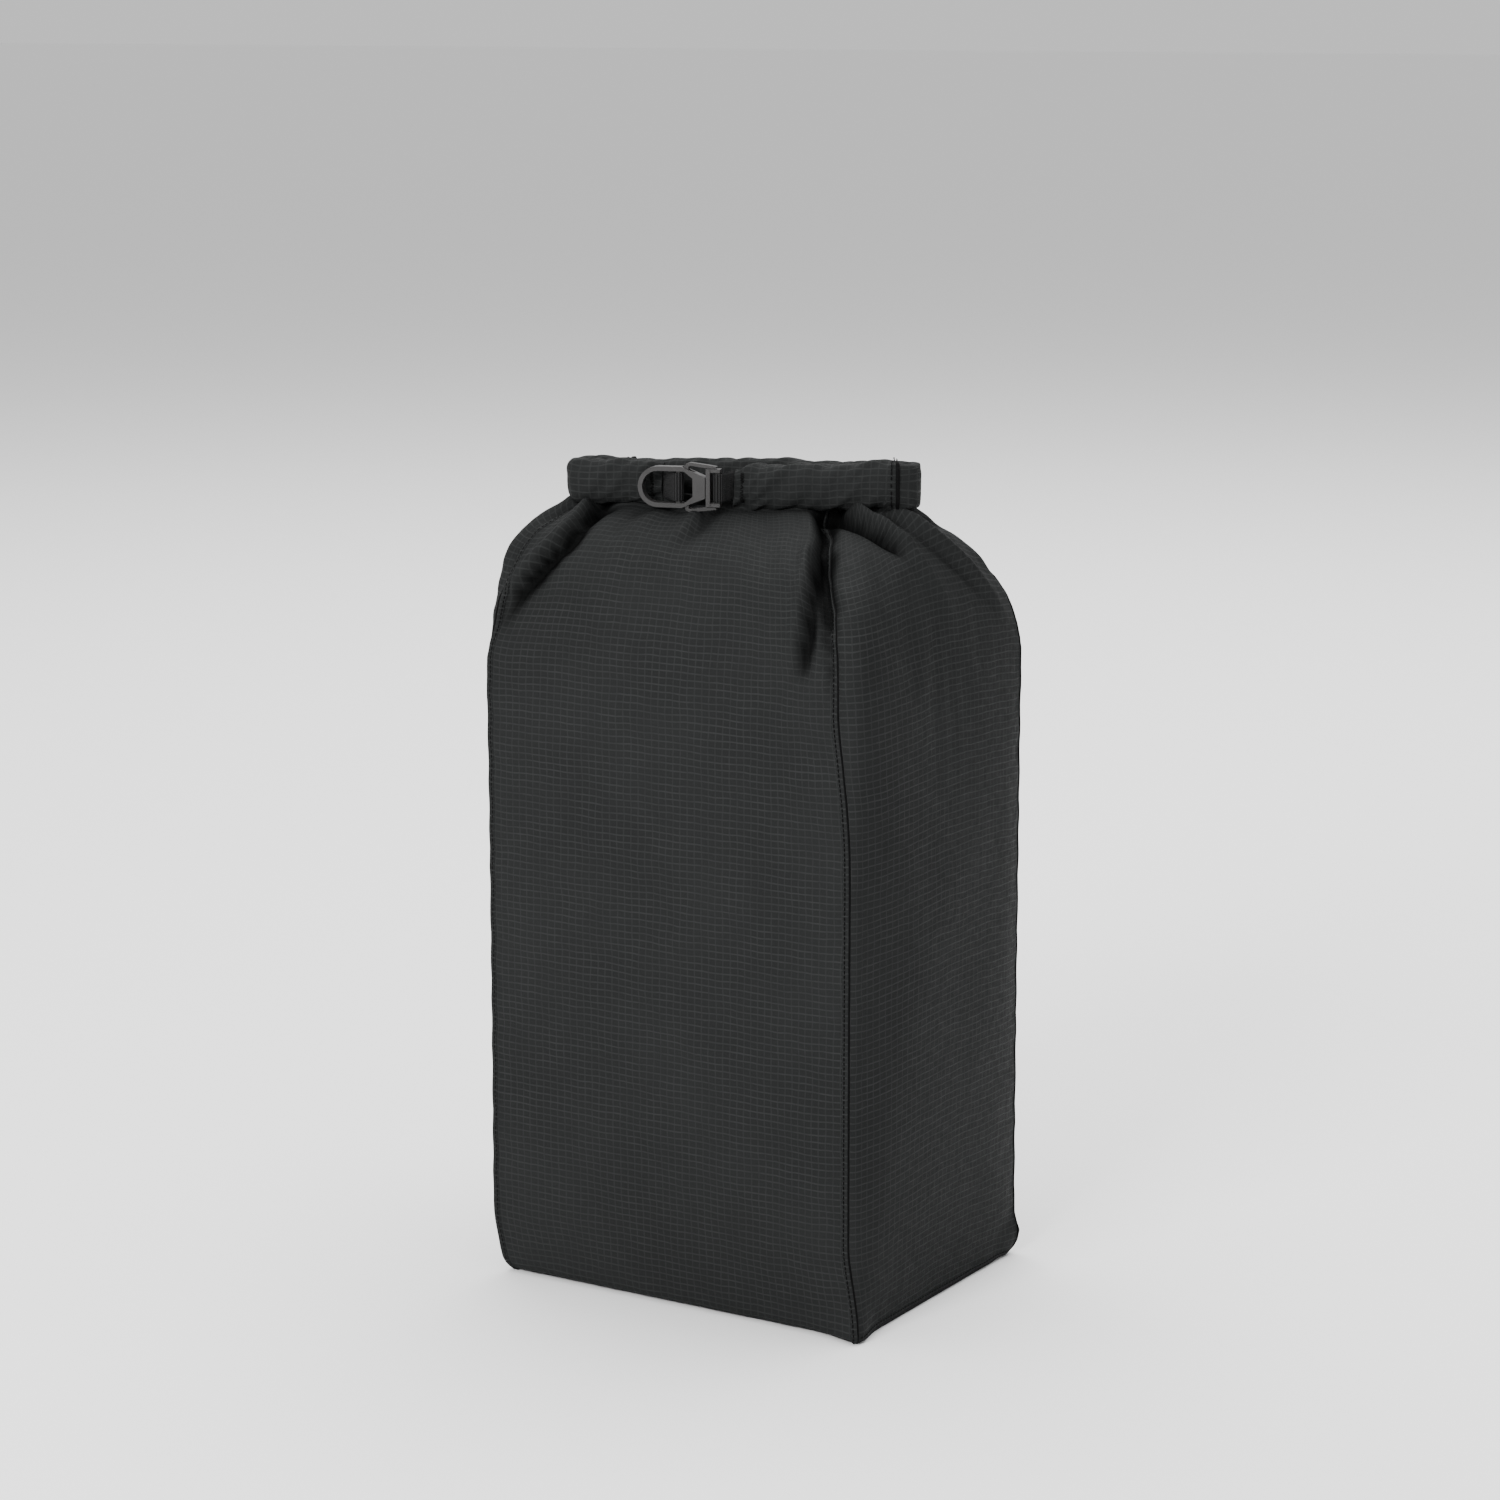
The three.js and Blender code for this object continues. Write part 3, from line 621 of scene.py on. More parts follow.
def ripstop_material(settings):
    """Coated nylon with a raised grid of thicker threads, and painted shade that darkens it in the folds' valleys."""
    shader = Shader("ripstop", Specular_IOR_Level=0.02)
    uv, u, v = shader.cloth_place()
    # Painted shade: how deep in a fold's valley each point lies, which darkens the cloth's colour.
    fold_shade = shader.node("ShaderNodeAttribute", attribute_name="crease_shade").outputs["Fac"]
    drift = shader.noise(uv, 28, 2)
    sway = shader.math("MULTIPLY", shader.math("SUBTRACT", drift, 0.5), 4 * MM)
    lines = []
    for place, spacing, share in ((u, settings.grid_width, 0.6), (v, settings.grid_height, 1.0)):
        off_line = shader.math("PINGPONG", shader.math("ADD", place, sway), spacing / 2)
        lines.append(shader.spread(off_line, 0.75 * MM, 0.25 * MM, 0.0, share))
    grid = shader.math("MAXIMUM", *lines)
    clear = shader.spread(shader.noise(uv, 45, 4, 0.65), 0.3, 0.7, 0.55, 1.0)
    weave = shader.math("MULTIPLY", shader.wave(u, THREAD_PITCH), shader.wave(v, THREAD_PITCH))
    crumple = shader.noise(uv, 150, 4, 0.6)
    patches = shader.spread(shader.noise(uv, 9, 3), 0.3, 0.7)
    line_share = shader.math("MULTIPLY", grid, clear)
    cloth = shader.mix(line_share, shader.shades(patches, settings.fabric_colour, 0.94, 1.08),
                       rgba(settings.grid_colour))
    worn = shader.spread(crumple, 0.3, 0.75, 0.52, 0.68)
    height = shader.math("MULTIPLY_ADD", grid, 0.16, shader.math("MULTIPLY", weave, 0.03))
    return shader.finish(
        # Painted shade: the colour falls towards a tenth of the fabric's deep in the folds' valleys.
        shader.mix(fold_shade, cloth, rgba(settings.fabric_colour, 0.1)),
        shader.math("SUBTRACT", worn, shader.math("MULTIPLY", line_share, 0.08)),
        shader.math("MULTIPLY_ADD", crumple, settings.crumple, height), 1 * MM)


def tape_material(colour):
    """Smooth welded tape that lets the weave beneath show a little."""
    shader = Shader("seam_tape", Specular_IOR_Level=0.4)
    uv, _, v = shader.cloth_place()
    mottle = shader.noise(uv, 260, 3)
    return shader.finish(
        shader.shades(mottle, colour, 0.8, 1.2), shader.spread(mottle, 0.3, 0.7, 0.32, 0.5),
        shader.math("MULTIPLY_ADD", shader.wave(v, 2 * THREAD_PITCH), 0.04, mottle), 0.1 * MM)


def thread_material(colour):
    """Matt twisted thread."""
    shader = Shader("thread", Specular_IOR_Level=0.08)
    fuzz = shader.noise(shader.object_place(), 1800, 3)
    return shader.finish(
        shader.shades(fuzz, colour, 0.7, 1.5), shader.spread(fuzz, 0.3, 0.7, 0.75, 0.95), fuzz, 0.1 * MM)


def webbing_material(settings):
    """Flat nylon webbing: ribs across it, with a slanting twill in each, and their shade and light painted into its
    colour.
    """
    shader = Shader("webbing", Specular_IOR_Level=0.08)
    uv, u, v = shader.cloth_place()
    twill = shader.wave(shader.math("MULTIPLY_ADD", v, 0.8, u), settings.webbing_rib * 0.8)
    weave = shader.math("MULTIPLY_ADD", twill, 0.6, shader.wave(v, settings.webbing_rib))
    fuzz = shader.noise(uv, 1500, 3)
    # Painted shade and light: the colour follows the weave's relief, 0.3 times the webbing's colour in its hollows
    # and 2.4 times on its raised threads.
    return shader.finish(
        shader.shades(shader.spread(weave, -1.4, 1.4), settings.webbing_colour, 0.3, 2.4),
        shader.spread(fuzz, 0.3, 0.7, 0.7, 0.92), shader.math("MULTIPLY_ADD", fuzz, 0.5, weave), 0.35 * MM)


def plastic_material(name, colour, roughness=0.42):
    """Moulded plastic with a fine grain and faint handling marks."""
    shader = Shader(name, Specular_IOR_Level=0.3)
    place = shader.object_place()
    grain = shader.noise(place, 2600, 2)
    marks = shader.noise(place, 160, 5, 0.65)
    return shader.finish(
        shader.shades(marks, colour, 0.86, 1.16), shader.spread(marks, 0.35, 0.7, roughness - 0.07, roughness + 0.12),
        shader.math("MULTIPLY_ADD", marks, 0.4, grain), 0.06 * MM)


def floor_material(colour):
    shader = Shader("floor", Roughness=0.9, Specular_IOR_Level=0.1)
    shader.surface.inputs["Base Color"].default_value = rgba(colour)
    return shader.material


# ---- The walls ----

BUILT = {}  # the walls' finished form and the materials that several operators share


def make_form(settings):
    """The walls' finished form with its folds, and each point's height up the flat cloth."""
    climbs = wall_rows()[2]
    plain = smooth_form()
    up = np.linalg.norm(np.diff(plain, axis=0, prepend=plain[:1]), axis=2).cumsum(axis=0)
    up = relax_round(up, 16, axis=1)
    folded, folds = carve_folds(plain, climbs, settings.fold_depth)
    form = ruffle(folded, climbs, settings.ruffle)
    form = settle(form, climbs, folds, settings.settle_frames, settings.give)
    form[..., 2] = np.maximum(form[..., 2], 0.2 * MM)
    # Painted shade for the folds: how far down a valley each point lies, from 0 to 0.9.
    BUILT["crease_shade"] = 0.9 * smooth(-folds / (9 * MM)) * smooth(np.abs(folds) / (3 * MM))
    return form, up


def mark_fold_shade(piece, values):
    """Tells the cloth's material how deep in a fold each point lies, from 0 to 1, for the shade painted into its
    colour there.
    """
    attribute = piece.data.attributes.new("crease_shade", "FLOAT", "POINT")
    attribute.data.foreach_set("value", values.ravel().astype(np.float32))


def main_panel_grid(form, up):
    """One strip of cloth: down the back, under the base and up the front."""
    front, front_up = form[:, FRONT_COLUMNS], up[:, FRONT_COLUMNS]
    back, back_up = form[:, BACK_COLUMNS], up[:, BACK_COLUMNS]
    right = form[0, gusset_columns(1)]
    left = form[0, gusset_columns(3)[::-1]]
    step = np.arange(SIDE_CELLS + 1)
    i = (FRONT_COLUMNS / FRONT_CELLS)[None, :, None]
    j = (step / SIDE_CELLS)[:, None, None]
    base = (1 - j) * front[0][None] + j * back[0][None] + (1 - i) * left[:, None] + i * right[:, None]
    base = base - (1 - j) * ((1 - i) * front[0, 0] + i * front[0, -1]) - j * ((1 - i) * back[0, 0] + i * back[0, -1])
    inside = np.minimum(np.minimum(i, 1 - i), np.minimum(j, 1 - j))[..., 0]
    base[..., 2] += 0.5 * MM * (1 + noise_at(base, 30 * MM, 8)) * smooth(inside * 12)
    points = np.concatenate([back[::-1], base[::-1][1:-1], front])
    depth = 2 * SEAM_HALF_DEPTH
    base_up = -(step[::-1][1:-1] / SIDE_CELLS * depth)[:, None] * np.ones((1, FRONT_CELLS + 1))
    v = np.concatenate([-depth - back_up[::-1], base_up, front_up])
    return points, uv_grid((FRONT_COLUMNS / FRONT_CELLS - 0.5) * 2 * SEAM_HALF_WIDTH, v)


def gusset_grid(form, up, face):
    columns = gusset_columns(face)
    u = (np.arange(SIDE_CELLS + 1) / SIDE_CELLS - 0.5) * 2 * SEAM_HALF_DEPTH
    return form[:, columns], uv_grid(u, up[:, columns])


def make_walls(settings):
    form, up = make_form(settings)
    BUILT["form"] = form
    BUILT["ripstop"] = ripstop_material(settings)
    # The folds' painted shade, for each piece of the walls.
    crease_shade = BUILT["crease_shade"]
    base_fold_shade = np.zeros((SIDE_CELLS - 1, FRONT_CELLS + 1))
    panel_fold_shade = np.concatenate([crease_shade[::-1, BACK_COLUMNS], base_fold_shade, crease_shade[:, FRONT_COLUMNS]])
    pieces = [("main_panel", main_panel_grid(form, up), panel_fold_shade)]
    for side, face in GUSSET_FACES.items():
        pieces.append((f"{side}_gusset", gusset_grid(form, up, face), crease_shade[:, gusset_columns(face)]))
    for node, grid, piece_fold_shade in pieces:
        piece = grid_object(f"{node}_cloth", *grid)
        mark_fold_shade(piece, piece_fold_shade)
        finish_piece(piece, BUILT["ripstop"], "ripstop", node, thickness=CLOTH, subdivide=1)


# ---- The seams ----

STITCH_INSET = 3.1 * MM
STITCH_SHARE = 0.8  # a stitch's length as a share of the pitch
TAPE_HALF_WIDTH = 8 * MM
# Sections across a seam: (offset towards the flap, height) in mm.
FLAP_SECTION = ((0.2, -0.5), (0.35, 0.55), (0.9, 0.8), (2.4, 0.62), (3.1, 0.5), (3.7, 0.66), (4.4, 0.6), (4.7, -0.4))
# Section of a dark strip along a seam's groove: painted shade, in the thread's colour, where the seam's gap lies in
# shadow.
SEAM_SHADE_SECTION = ((-0.85, -0.3), (-0.6, 0.3), (0.0, 0.42), (0.45, 0.3), (0.6, -0.3))
# A stitch's rings: place along it, girth and lift, each as a share.
STITCH_RINGS = ((-0.5, 0.25, -0.6), (-0.36, 0.9, 0.4), (0, 1.0, 1.0), (0.36, 0.9, 0.4), (0.5, 0.25, -0.6))


def seam_lines(form, face):
    """The three runs of one gusset's seam, each as points, directions towards the flap, and outward normals."""
    columns = gusset_columns(face)
    runs = []
    for column, way in ((columns[0], -1), (columns[-1], 1)):
        line = form[:, column]
        flap = unit(form[:, (column + way) % AROUND] - line)
        normal = unit(np.cross(flap, np.gradient(line, axis=0)) * way)
        runs.append((line[1:], flap[1:], normal[1:]))
    foot = form[2, columns]
    flap = unit(form[4, columns] - foot)
    runs.append((foot, flap, unit(np.cross(np.gradient(foot, axis=0), flap))))
    return runs


def along_run(run, spacing):
    """A seam's run resampled evenly: its points, flap directions, normals and distances."""
    distance = travel(run[0])
    even = np.linspace(0, distance[-1], max(4, int(distance[-1] / spacing)))
    line, flap, normal = (sample(even, distance, rows) for rows in run)
    return line, unit(flap), unit(normal), even


def ribbon(run, section):
    """A ribbon of the given section along a run."""
    line, flap, normal, distance = along_run(run, 2 * MM)
    offsets = np.array(section) * MM
    points = line[:, None] + flap[:, None] * offsets[None, :, :1] + normal[:, None] * offsets[None, :, 1:]
    return points, uv_grid(offsets[None, :, 0], distance[:, None])


def joined_grids(name, grids):
    """One mesh object from several grids of points and uvs."""
    vertices, faces, uvs, count = [], [], [], 0
    for points, places in grids:
        rows, columns = points.shape[:2]
        vertices.append(points.reshape(-1, 3))
        uvs.append(places.reshape(-1, 2))
        faces.append(grid_faces(rows - 1, columns - 1) + count)
        count += rows * columns
    return mesh_object(name, np.concatenate(vertices), np.concatenate(faces), np.concatenate(uvs))


def stitches(name, centres, alongs, normals, length, width, height):
    """A row of stitches: small rounded bars of thread lying on the cloth."""
    sideways = unit(np.cross(normals, alongs))
    corners = np.linspace(0, 2 * math.pi, 6, endpoint=False)
    rings = []
    for place, girth, lift in STITCH_RINGS:
        for corner in corners:
            across = math.cos(corner) * width / 2 * girth
            rise = (math.sin(corner) * girth + lift) * height / 2
            rings.append(centres + alongs * (place * length) + sideways * across + normals * rise)
    vertices = np.stack(rings, axis=1)
    one = tube_faces(len(STITCH_RINGS) - 1, len(corners))
    faces = (one[None] + (np.arange(len(centres)) * len(rings))[:, None, None]).reshape(-1, 4)
    return mesh_object(name, vertices.reshape(-1, 3), faces)


def make_seams(settings, thread, tape):
    """The flat-felled seams, dark strips of painted shade along their grooves, their stitching, and the tapes inside.
    """
    form = BUILT["form"]
    for side in ("left", "right"):
        face = GUSSET_FACES[side]
        runs = seam_lines(form, face)
        seam = joined_grids(f"{side}_felled_seam", [ribbon(run, FLAP_SECTION) for run in runs])
        finish_piece(seam, BUILT["ripstop"], "ripstop")
        # A dark strip of painted shade along the seam's groove, in the thread's material.
        crease_shade = joined_grids(f"{side}_seam_shade_strip", [ribbon(run, SEAM_SHADE_SECTION) for run in runs])
        finish_piece(crease_shade, thread, "thread")
        middles, ways, tops = [], [], []
        for run in runs:
            line, flap, normal, _ = along_run(run, settings.stitch_pitch)
            middles.append(line + flap * STITCH_INSET + normal * 0.62 * MM)
            ways.append(unit(np.gradient(line, axis=0)))
            tops.append(normal)
        row = stitches(f"{side}_seam_stitches", np.concatenate(middles), np.concatenate(ways),
                       np.concatenate(tops), settings.stitch_pitch * STITCH_SHARE, 0.9 * MM, 0.5 * MM)
        finish_piece(row, thread, "thread", f"{side}_seam_topstitch")
        lining = joined_grids(f"{side}_seam_lining", [tape_grid(form, face, run) for run in range(3)])
        finish_piece(lining, tape, "seam_tape", f"{side}_seam_tape")


def tape_grid(form, face, run):
    """The welded tape inside a gusset's seam: run 0 is its front edge, 1 its back edge and 2 its foot."""
    inside = form - form_normals(form) * 1.7 * MM
    columns = gusset_columns(face)
    if run < 2:
        strip = np.stack([inside[1:-3, (columns[-run] + k) % AROUND] for k in (-1, 0, 1)], axis=1)
    else:
        strip = np.stack([inside[row, columns[1:-1]] for row in (1, 4, 5)], axis=1)
        strip[..., 2] = np.maximum(strip[..., 2], 2 * MM)
    middle = strip[:, 1:2]
    reach = np.linalg.norm(strip - middle, axis=2, keepdims=True)
    points = middle + (strip - middle) * np.minimum(1, TAPE_HALF_WIDTH / np.maximum(reach, 1e-9))
    across = np.array([-TAPE_HALF_WIDTH, 0, TAPE_HALF_WIDTH])
    return points, uv_grid(across[None, :], travel(middle[:, 0])[:, None])


# ---- The rolled collar, in the loop's own frame ----

ROLL_HALF_THICKNESS = 11 * MM
ROLL_HALF_HEIGHT = (ROLL_BOX[1][2] - ROLL_BOX[0][2]) / 2
ROLL_RUN = (ROLL_BOX[1][1] - ROLL_BOX[0][1]) / 2 - ROLL_HALF_THICKNESS
ROLL_STRAIGHT = ROLL_BOX[1][0] - ROLL_RUN - ROLL_HALF_THICKNESS
LEFT_TIP = RECEIVER_BOX[0][0] + 14 * MM
RIGHT_TIP = LATCH_BOX[1][0] + 5.9 * MM
ROLL_TURNS = 3
ROLL_PITCH = 2.3 * MM
SEAM_FROM_TIP = 117 * MM
ROLL_GIRTH = 100 * MM
# The section of the dark strip where a side seam crosses the roll: painted shade of the seam's gap.
ROLL_SEAM_SHADE_SECTION = ((-0.9, -0.2), (-0.6, 0.55), (0.6, 0.55), (0.9, -0.2))  # (offset along the roll, lift) in mm
RIGHT_BEND = ROLL_STRAIGHT - RIGHT_TIP + math.pi / 2 * ROLL_RUN  # from the right tip to the loop's right end


def roll_course():
    """The roll's centre line from its left tip round the back to its right tip: points, directions, distances."""
    turn = np.linspace(0, math.pi, 60)
    left = np.stack([-ROLL_STRAIGHT - ROLL_RUN * np.sin(turn), -ROLL_RUN * np.cos(turn)], axis=1)
    right = np.stack([ROLL_STRAIGHT + ROLL_RUN * np.sin(turn), ROLL_RUN * np.cos(turn)], axis=1)
    corners = np.concatenate([[[LEFT_TIP, -ROLL_RUN]], left, right, [[RIGHT_TIP, -ROLL_RUN]]])
    return even_line(corners, 3 * MM)


def roll_surface(centres, ways, distance, length, angle, depth, strength):
    """Points of the rolled cloth. angle is round the section from its outer side, and depth is in turns inwards."""
    to_tip = np.minimum(distance, length - distance)
    pinch = 0.62 + 0.38 * smooth(to_tip / (20 * MM))
    flatten = 0.86 + 0.14 * smooth(to_tip / (12 * MM))
    to_right_end = hump((length - distance - RIGHT_BEND) / (16 * MM))
    swell = 1 + 0.06 * np.sin(distance / (19 * MM) + 1.1) + 0.03 * np.sin(distance / (8.3 * MM))
    swell = swell * (1 - 0.4 * to_right_end)
    thick = ROLL_HALF_THICKNESS * pinch * swell - ROLL_PITCH * depth
    high = ROLL_HALF_HEIGHT * flatten - ROLL_PITCH * depth
    c, s = np.cos(angle), np.sin(angle)
    square = 0.3 * to_right_end
    out = np.sign(c) * np.abs(c) ** (0.78 - square) * np.maximum(thick, 0.8 * MM)
    rise = np.sign(s) * np.abs(s) ** (0.82 - square) * np.maximum(high, 2 * MM)
    slant = np.stack([(distance + 15 * MM * angle) / (11 * MM), angle * 0.4, distance / (60 * MM)], axis=-1)
    fine = np.stack([(distance - 9 * MM * angle) / (6 * MM), angle * 0.8, distance / (40 * MM) + 7], axis=-1)
    wrinkle = 2.6 * (np.abs(noise_at(slant, 1.0, 11)) * 2 - 0.55) + 0.7 * noise_at(fine, 1.0, 12)
    near_tip = 1 + 0.8 * hump(to_tip / (24 * MM))
    push = wrinkle * near_tip * strength * (1 - 0.25 * depth) * MM
    outer = np.stack([-ways[..., 1], ways[..., 0]], axis=-1)
    flat = centres + outer * (out + push * c)[..., None]
    wave = 1.2 * MM * np.sin(distance / (27 * MM) + 0.4) + 0.7 * MM * np.sin(distance / (11 * MM))
    wave = wave + 3 * MM * hump((length - distance - RIGHT_BEND) / (75 * MM))
    return np.concatenate([flat, (rise + push * s + wave)[..., None]], axis=-1)


def on_roll(course, place, angles, depth, strength):
    """A row of points on the rolled cloth, round it at angles, at one place along it and one depth."""
    centres, ways, distance = course
    places = np.full(len(angles), place)
    return roll_surface(sample(places, distance, centres), unit(sample(places, distance, ways)), places,
                        distance[-1], angles, np.full(len(angles), depth), strength)


def make_roll(wrinkle, settings, thread):
    course = roll_course()
    centres, ways, distance = course
    turns = np.linspace(0, ROLL_TURNS, ROLL_TURNS * 48 + 1)
    angle = -math.pi / 2 - 0.35 + 2 * math.pi * turns
    along, around, depth = np.broadcast_arrays(distance[:, None], angle[None, :], turns[None, :])
    points = roll_surface(centres[:, None], ways[:, None], along, distance[-1], around, depth, wrinkle)
    wound = np.linalg.norm(np.diff(points, axis=1, prepend=points[:, :1]), axis=2).cumsum(axis=1).mean(axis=0)
    roll = grid_object("rolled_collar", to_frame(points), uv_grid(distance[:, None], wound[None, :]))
    finish_piece(roll, BUILT["ripstop"], "ripstop", "collar_outer_turn", "collar_inner_turn", "collar_neck",
                 rides="closure", thickness=0.7 * MM, subdivide=1)
    make_roll_seams(course, wrinkle, settings, thread)


def make_roll_seams(course, wrinkle, settings, thread):
    """The side seams' dark strips of painted shade along their grooves, and their stitches, where they cross the
    roll.
    """
    length = course[2][-1]
    ends = (-math.pi / 2, 3 * math.pi / 2)
    angles = np.linspace(*ends, 64)
    stitch_angles = np.linspace(*ends, int(ROLL_GIRTH / settings.stitch_pitch))
    bands, middles, alongs, tops = [], [], [], []
    for start, way in ((SEAM_FROM_TIP, -1), (length - SEAM_FROM_TIP, 1)):
        rows = [on_roll(course, start + way * offset * MM, angles, -lift * MM / ROLL_PITCH, wrinkle)
                for offset, lift in ROLL_SEAM_SHADE_SECTION]
        points = np.stack(rows, axis=1)
        bands.append((to_frame(points), np.zeros(points.shape[:2] + (2,))))
        stitch_line = start + way * STITCH_INSET
        middle = on_roll(course, stitch_line, stitch_angles, -0.25 * MM / ROLL_PITCH, wrinkle)
        above = on_roll(course, stitch_line, stitch_angles, -1.2 * MM / ROLL_PITCH, wrinkle)
        middles.append(middle)
        alongs.append(unit(np.gradient(middle, axis=0)))
        tops.append(unit(above - middle))
    # Painted shade: dark strips in the thread's material along the seams' grooves.
    crease_shade = joined_grids("collar_seam_shade_strip", bands)
    finish_piece(crease_shade, thread, "thread", rides="closure")
    row = stitches("collar_seam_stitches", to_frame(np.concatenate(middles)),
                   np.concatenate(alongs) @ LOOP_ROTATION.T, np.concatenate(tops) @ LOOP_ROTATION.T,
                   settings.stitch_pitch * STITCH_SHARE, 0.8 * MM, 0.5 * MM)
    finish_piece(row, thread, "thread", rides="closure")


# ---- The webbing tabs and the buckle ----

BUCKLE_Y = (RECEIVER_BOX[0][1] + RECEIVER_BOX[1][1]) / 2
RECEIVER_BAR = RECEIVER_BOX[0][0] + 29 * MM
LATCH_BAR = LATCH_BOX[1][0] - 2.1 * MM
WEBBING_HALF_WIDTH = 10 * MM
WEBBING_THICKNESS = 1.4 * MM
LEG_OFFSET = 2.5 * MM
WRAP_RADIUS = 3.22 * MM
TACK_FROM_TIP = 7 * MM


def webbing_course(tip, bar, way):
    """The webbing's path in plan: out of the roll's tip, round the buckle's bar and back in, evenly spaced."""
    slope = math.atan2(BUCKLE_Y + ROLL_RUN, way * (bar - tip))
    turn = np.linspace(0, math.pi, 24) + slope - math.pi / 2
    wrap = np.stack([bar + way * WRAP_RADIUS * np.cos(turn), BUCKLE_Y + WRAP_RADIUS * np.sin(turn)], axis=1)
    buried = tip - way * 12 * MM
    corners = np.concatenate([[[buried, -ROLL_RUN - LEG_OFFSET], [tip, -ROLL_RUN - LEG_OFFSET]], wrap,
                              [[tip + way * 1.5 * MM, -ROLL_RUN + LEG_OFFSET], [buried, -ROLL_RUN + LEG_OFFSET]]])
    return even_line(corners, 0.4 * MM, passes=10)


def webbing_band(name, tip, bar, way, rib):
    """A woven band: ribs across it and rounded selvedges."""
    points, ways, distance = webbing_course(tip, bar, way)
    side = np.stack([-ways[:, 1], ways[:, 0]], axis=1)
    turn = np.linspace(0, 2 * math.pi, 36, endpoint=False)
    # The powers square off the section, more through the band than across it.
    across = np.sign(np.cos(turn)) * np.abs(np.cos(turn)) ** 0.45 * WEBBING_HALF_WIDTH
    through = np.sign(np.sin(turn)) * np.abs(np.sin(turn)) ** 0.35 * WEBBING_THICKNESS / 2
    ribs = 1 + 0.16 * np.cos(2 * math.pi * distance / rib)
    flat = points[:, None, :] + side[:, None, :] * (through[None, :] * ribs[:, None])[..., None]
    high = np.broadcast_to(across[None, :], flat.shape[:2])
    vertices = to_frame(np.concatenate([flat, high[..., None]], axis=-1)).reshape(-1, 3)
    uvs = uv_grid(across[None, :], distance[:, None])
    return mesh_object(name, vertices, tube_faces(len(distance) - 1, len(turn)), uvs.reshape(-1, 2))


def bar_tack(side, way, thread, wrinkle):
    """A dense zigzag of stitches through the roll, which holds a webbing tab."""
    course = roll_course()
    place = TACK_FROM_TIP if way > 0 else course[2][-1] - TACK_FROM_TIP
    angles = np.linspace(-0.62, 0.62, 26)
    surface = on_roll(course, place, angles, -0.12, wrinkle)
    above = on_roll(course, place, angles, -0.6, wrinkle)
    slant = np.where(np.arange(len(angles)) % 2, 0.35, -0.35)
    along = unit(np.stack([np.ones(len(angles)), np.zeros(len(angles)), slant], axis=1))
    row = stitches(f"{side}_tack_stitches", to_frame(surface), along @ LOOP_ROTATION.T,
                   unit(above - surface) @ LOOP_ROTATION.T, 2.6 * MM, 0.7 * MM, 0.6 * MM)
    finish_piece(row, thread, "thread", f"{side}_tab_bartack", rides="closure")


def make_webbing(wrinkle, settings, thread):
    material = webbing_material(settings)
    tip = Vector(to_frame([RIGHT_TIP, -ROLL_RUN, 0]))
    bar = Vector(to_frame([LATCH_BAR + 3 * MM, BUCKLE_Y, 0]))
    for side, start, end, way, rides in (("receiver", LEFT_TIP, RECEIVER_BAR, 1, "closure"),
                                         ("latch", RIGHT_TIP, LATCH_BAR, -1, ("closure", "latch", tip, bar))):
        band = webbing_band(f"{side}_webbing", start, end, way, settings.webbing_rib)
        finish_piece(band, material, "webbing", f"{side}_webbing_tab", rides=rides)
    for side, way in (("receiver", 1), ("latch", -1)):
        bar_tack(side, way, thread, wrinkle)


def dress_node(node, material):
    """Gives a CAD node its material and slot."""
    piece = NODES[node]
    piece.data.materials.clear()
    piece.data.materials.append(material)
    return piece


def make_buckle(settings):
    material = plastic_material("buckle_plastic", settings.buckle_colour)
    for node in ("buckle_receiver", "latch_frame", "upper_squeeze_arm", "lower_squeeze_arm"):
        bevel = dress_node(node, material).modifiers.new("Moulded edges", "BEVEL")
        bevel.width = settings.edge_radius
        bevel.segments = 2
        bevel.limit_method = "ANGLE"
        bevel.angle_limit = math.radians(35)
    strip = plastic_material("stiffener_plastic", settings.stiffener_colour, 0.5)
    for node in ("front_stiffener", "back_stiffener"):
        dress_node(node, strip)


# ---- The stage ----


FLOOR_REACH = 60.0
LIGHTS = (  # name, place, what it is aimed at, width and height
    ("key_light", (0.1, -3.1, 1.9), (0, 0, 0.3), (1.3, 1.3)),
    ("side_light", (2.8, -0.6, 1.4), (0, 0, 0.3), (1.0, 1.6)),
    ("top_light", (-0.4, 1.5, 3.6), (0, 0.8, 0), (5.0, 5.0)),
)


def area_light(name, place, target, size, power):
    light = bpy.data.lights.new(name, "AREA")
    light.shape = "RECTANGLE"
    light.size, light.size_y = size
    light.energy = power
    lamp = bpy.data.objects.new(name, light)
    bpy.context.scene.collection.objects.link(lamp)
    lamp.location = place
    lamp.rotation_euler = (Vector(target) - Vector(place)).to_track_quat("-Z", "Y").to_euler()


def make_stage(settings):
    far = FLOOR_REACH
    floor = mesh_object("floor", [(-far, -far, 0), (far, -far, 0), (far, far, 0), (-far, far, 0)], [(0, 1, 2, 3)])
    floor.data.materials.append(floor_material(settings.floor_colour))
    scene = bpy.context.scene
    world = scene.world or bpy.data.worlds.new("studio")
    scene.world = world
    world.use_nodes = True
    background = world.node_tree.nodes["Background"]
    background.inputs["Color"].default_value = (1, 1, 1, 1)
    background.inputs["Strength"].default_value = settings.surround
    for light, power in zip(LIGHTS, (settings.key_power, settings.side_power, settings.top_power)):
        area_light(*light, power)
    camera = bpy.data.cameras.new("camera")
    camera.lens = settings.camera_lens
    camera.sensor_width = 36
    camera.clip_end = 200
    eye = bpy.data.objects.new("camera", camera)
    scene.collection.objects.link(eye)
    eye.location = settings.camera_place
    eye.rotation_euler = (math.pi / 2 - settings.camera_pitch, 0, settings.camera_heading)
    scene.camera = eye


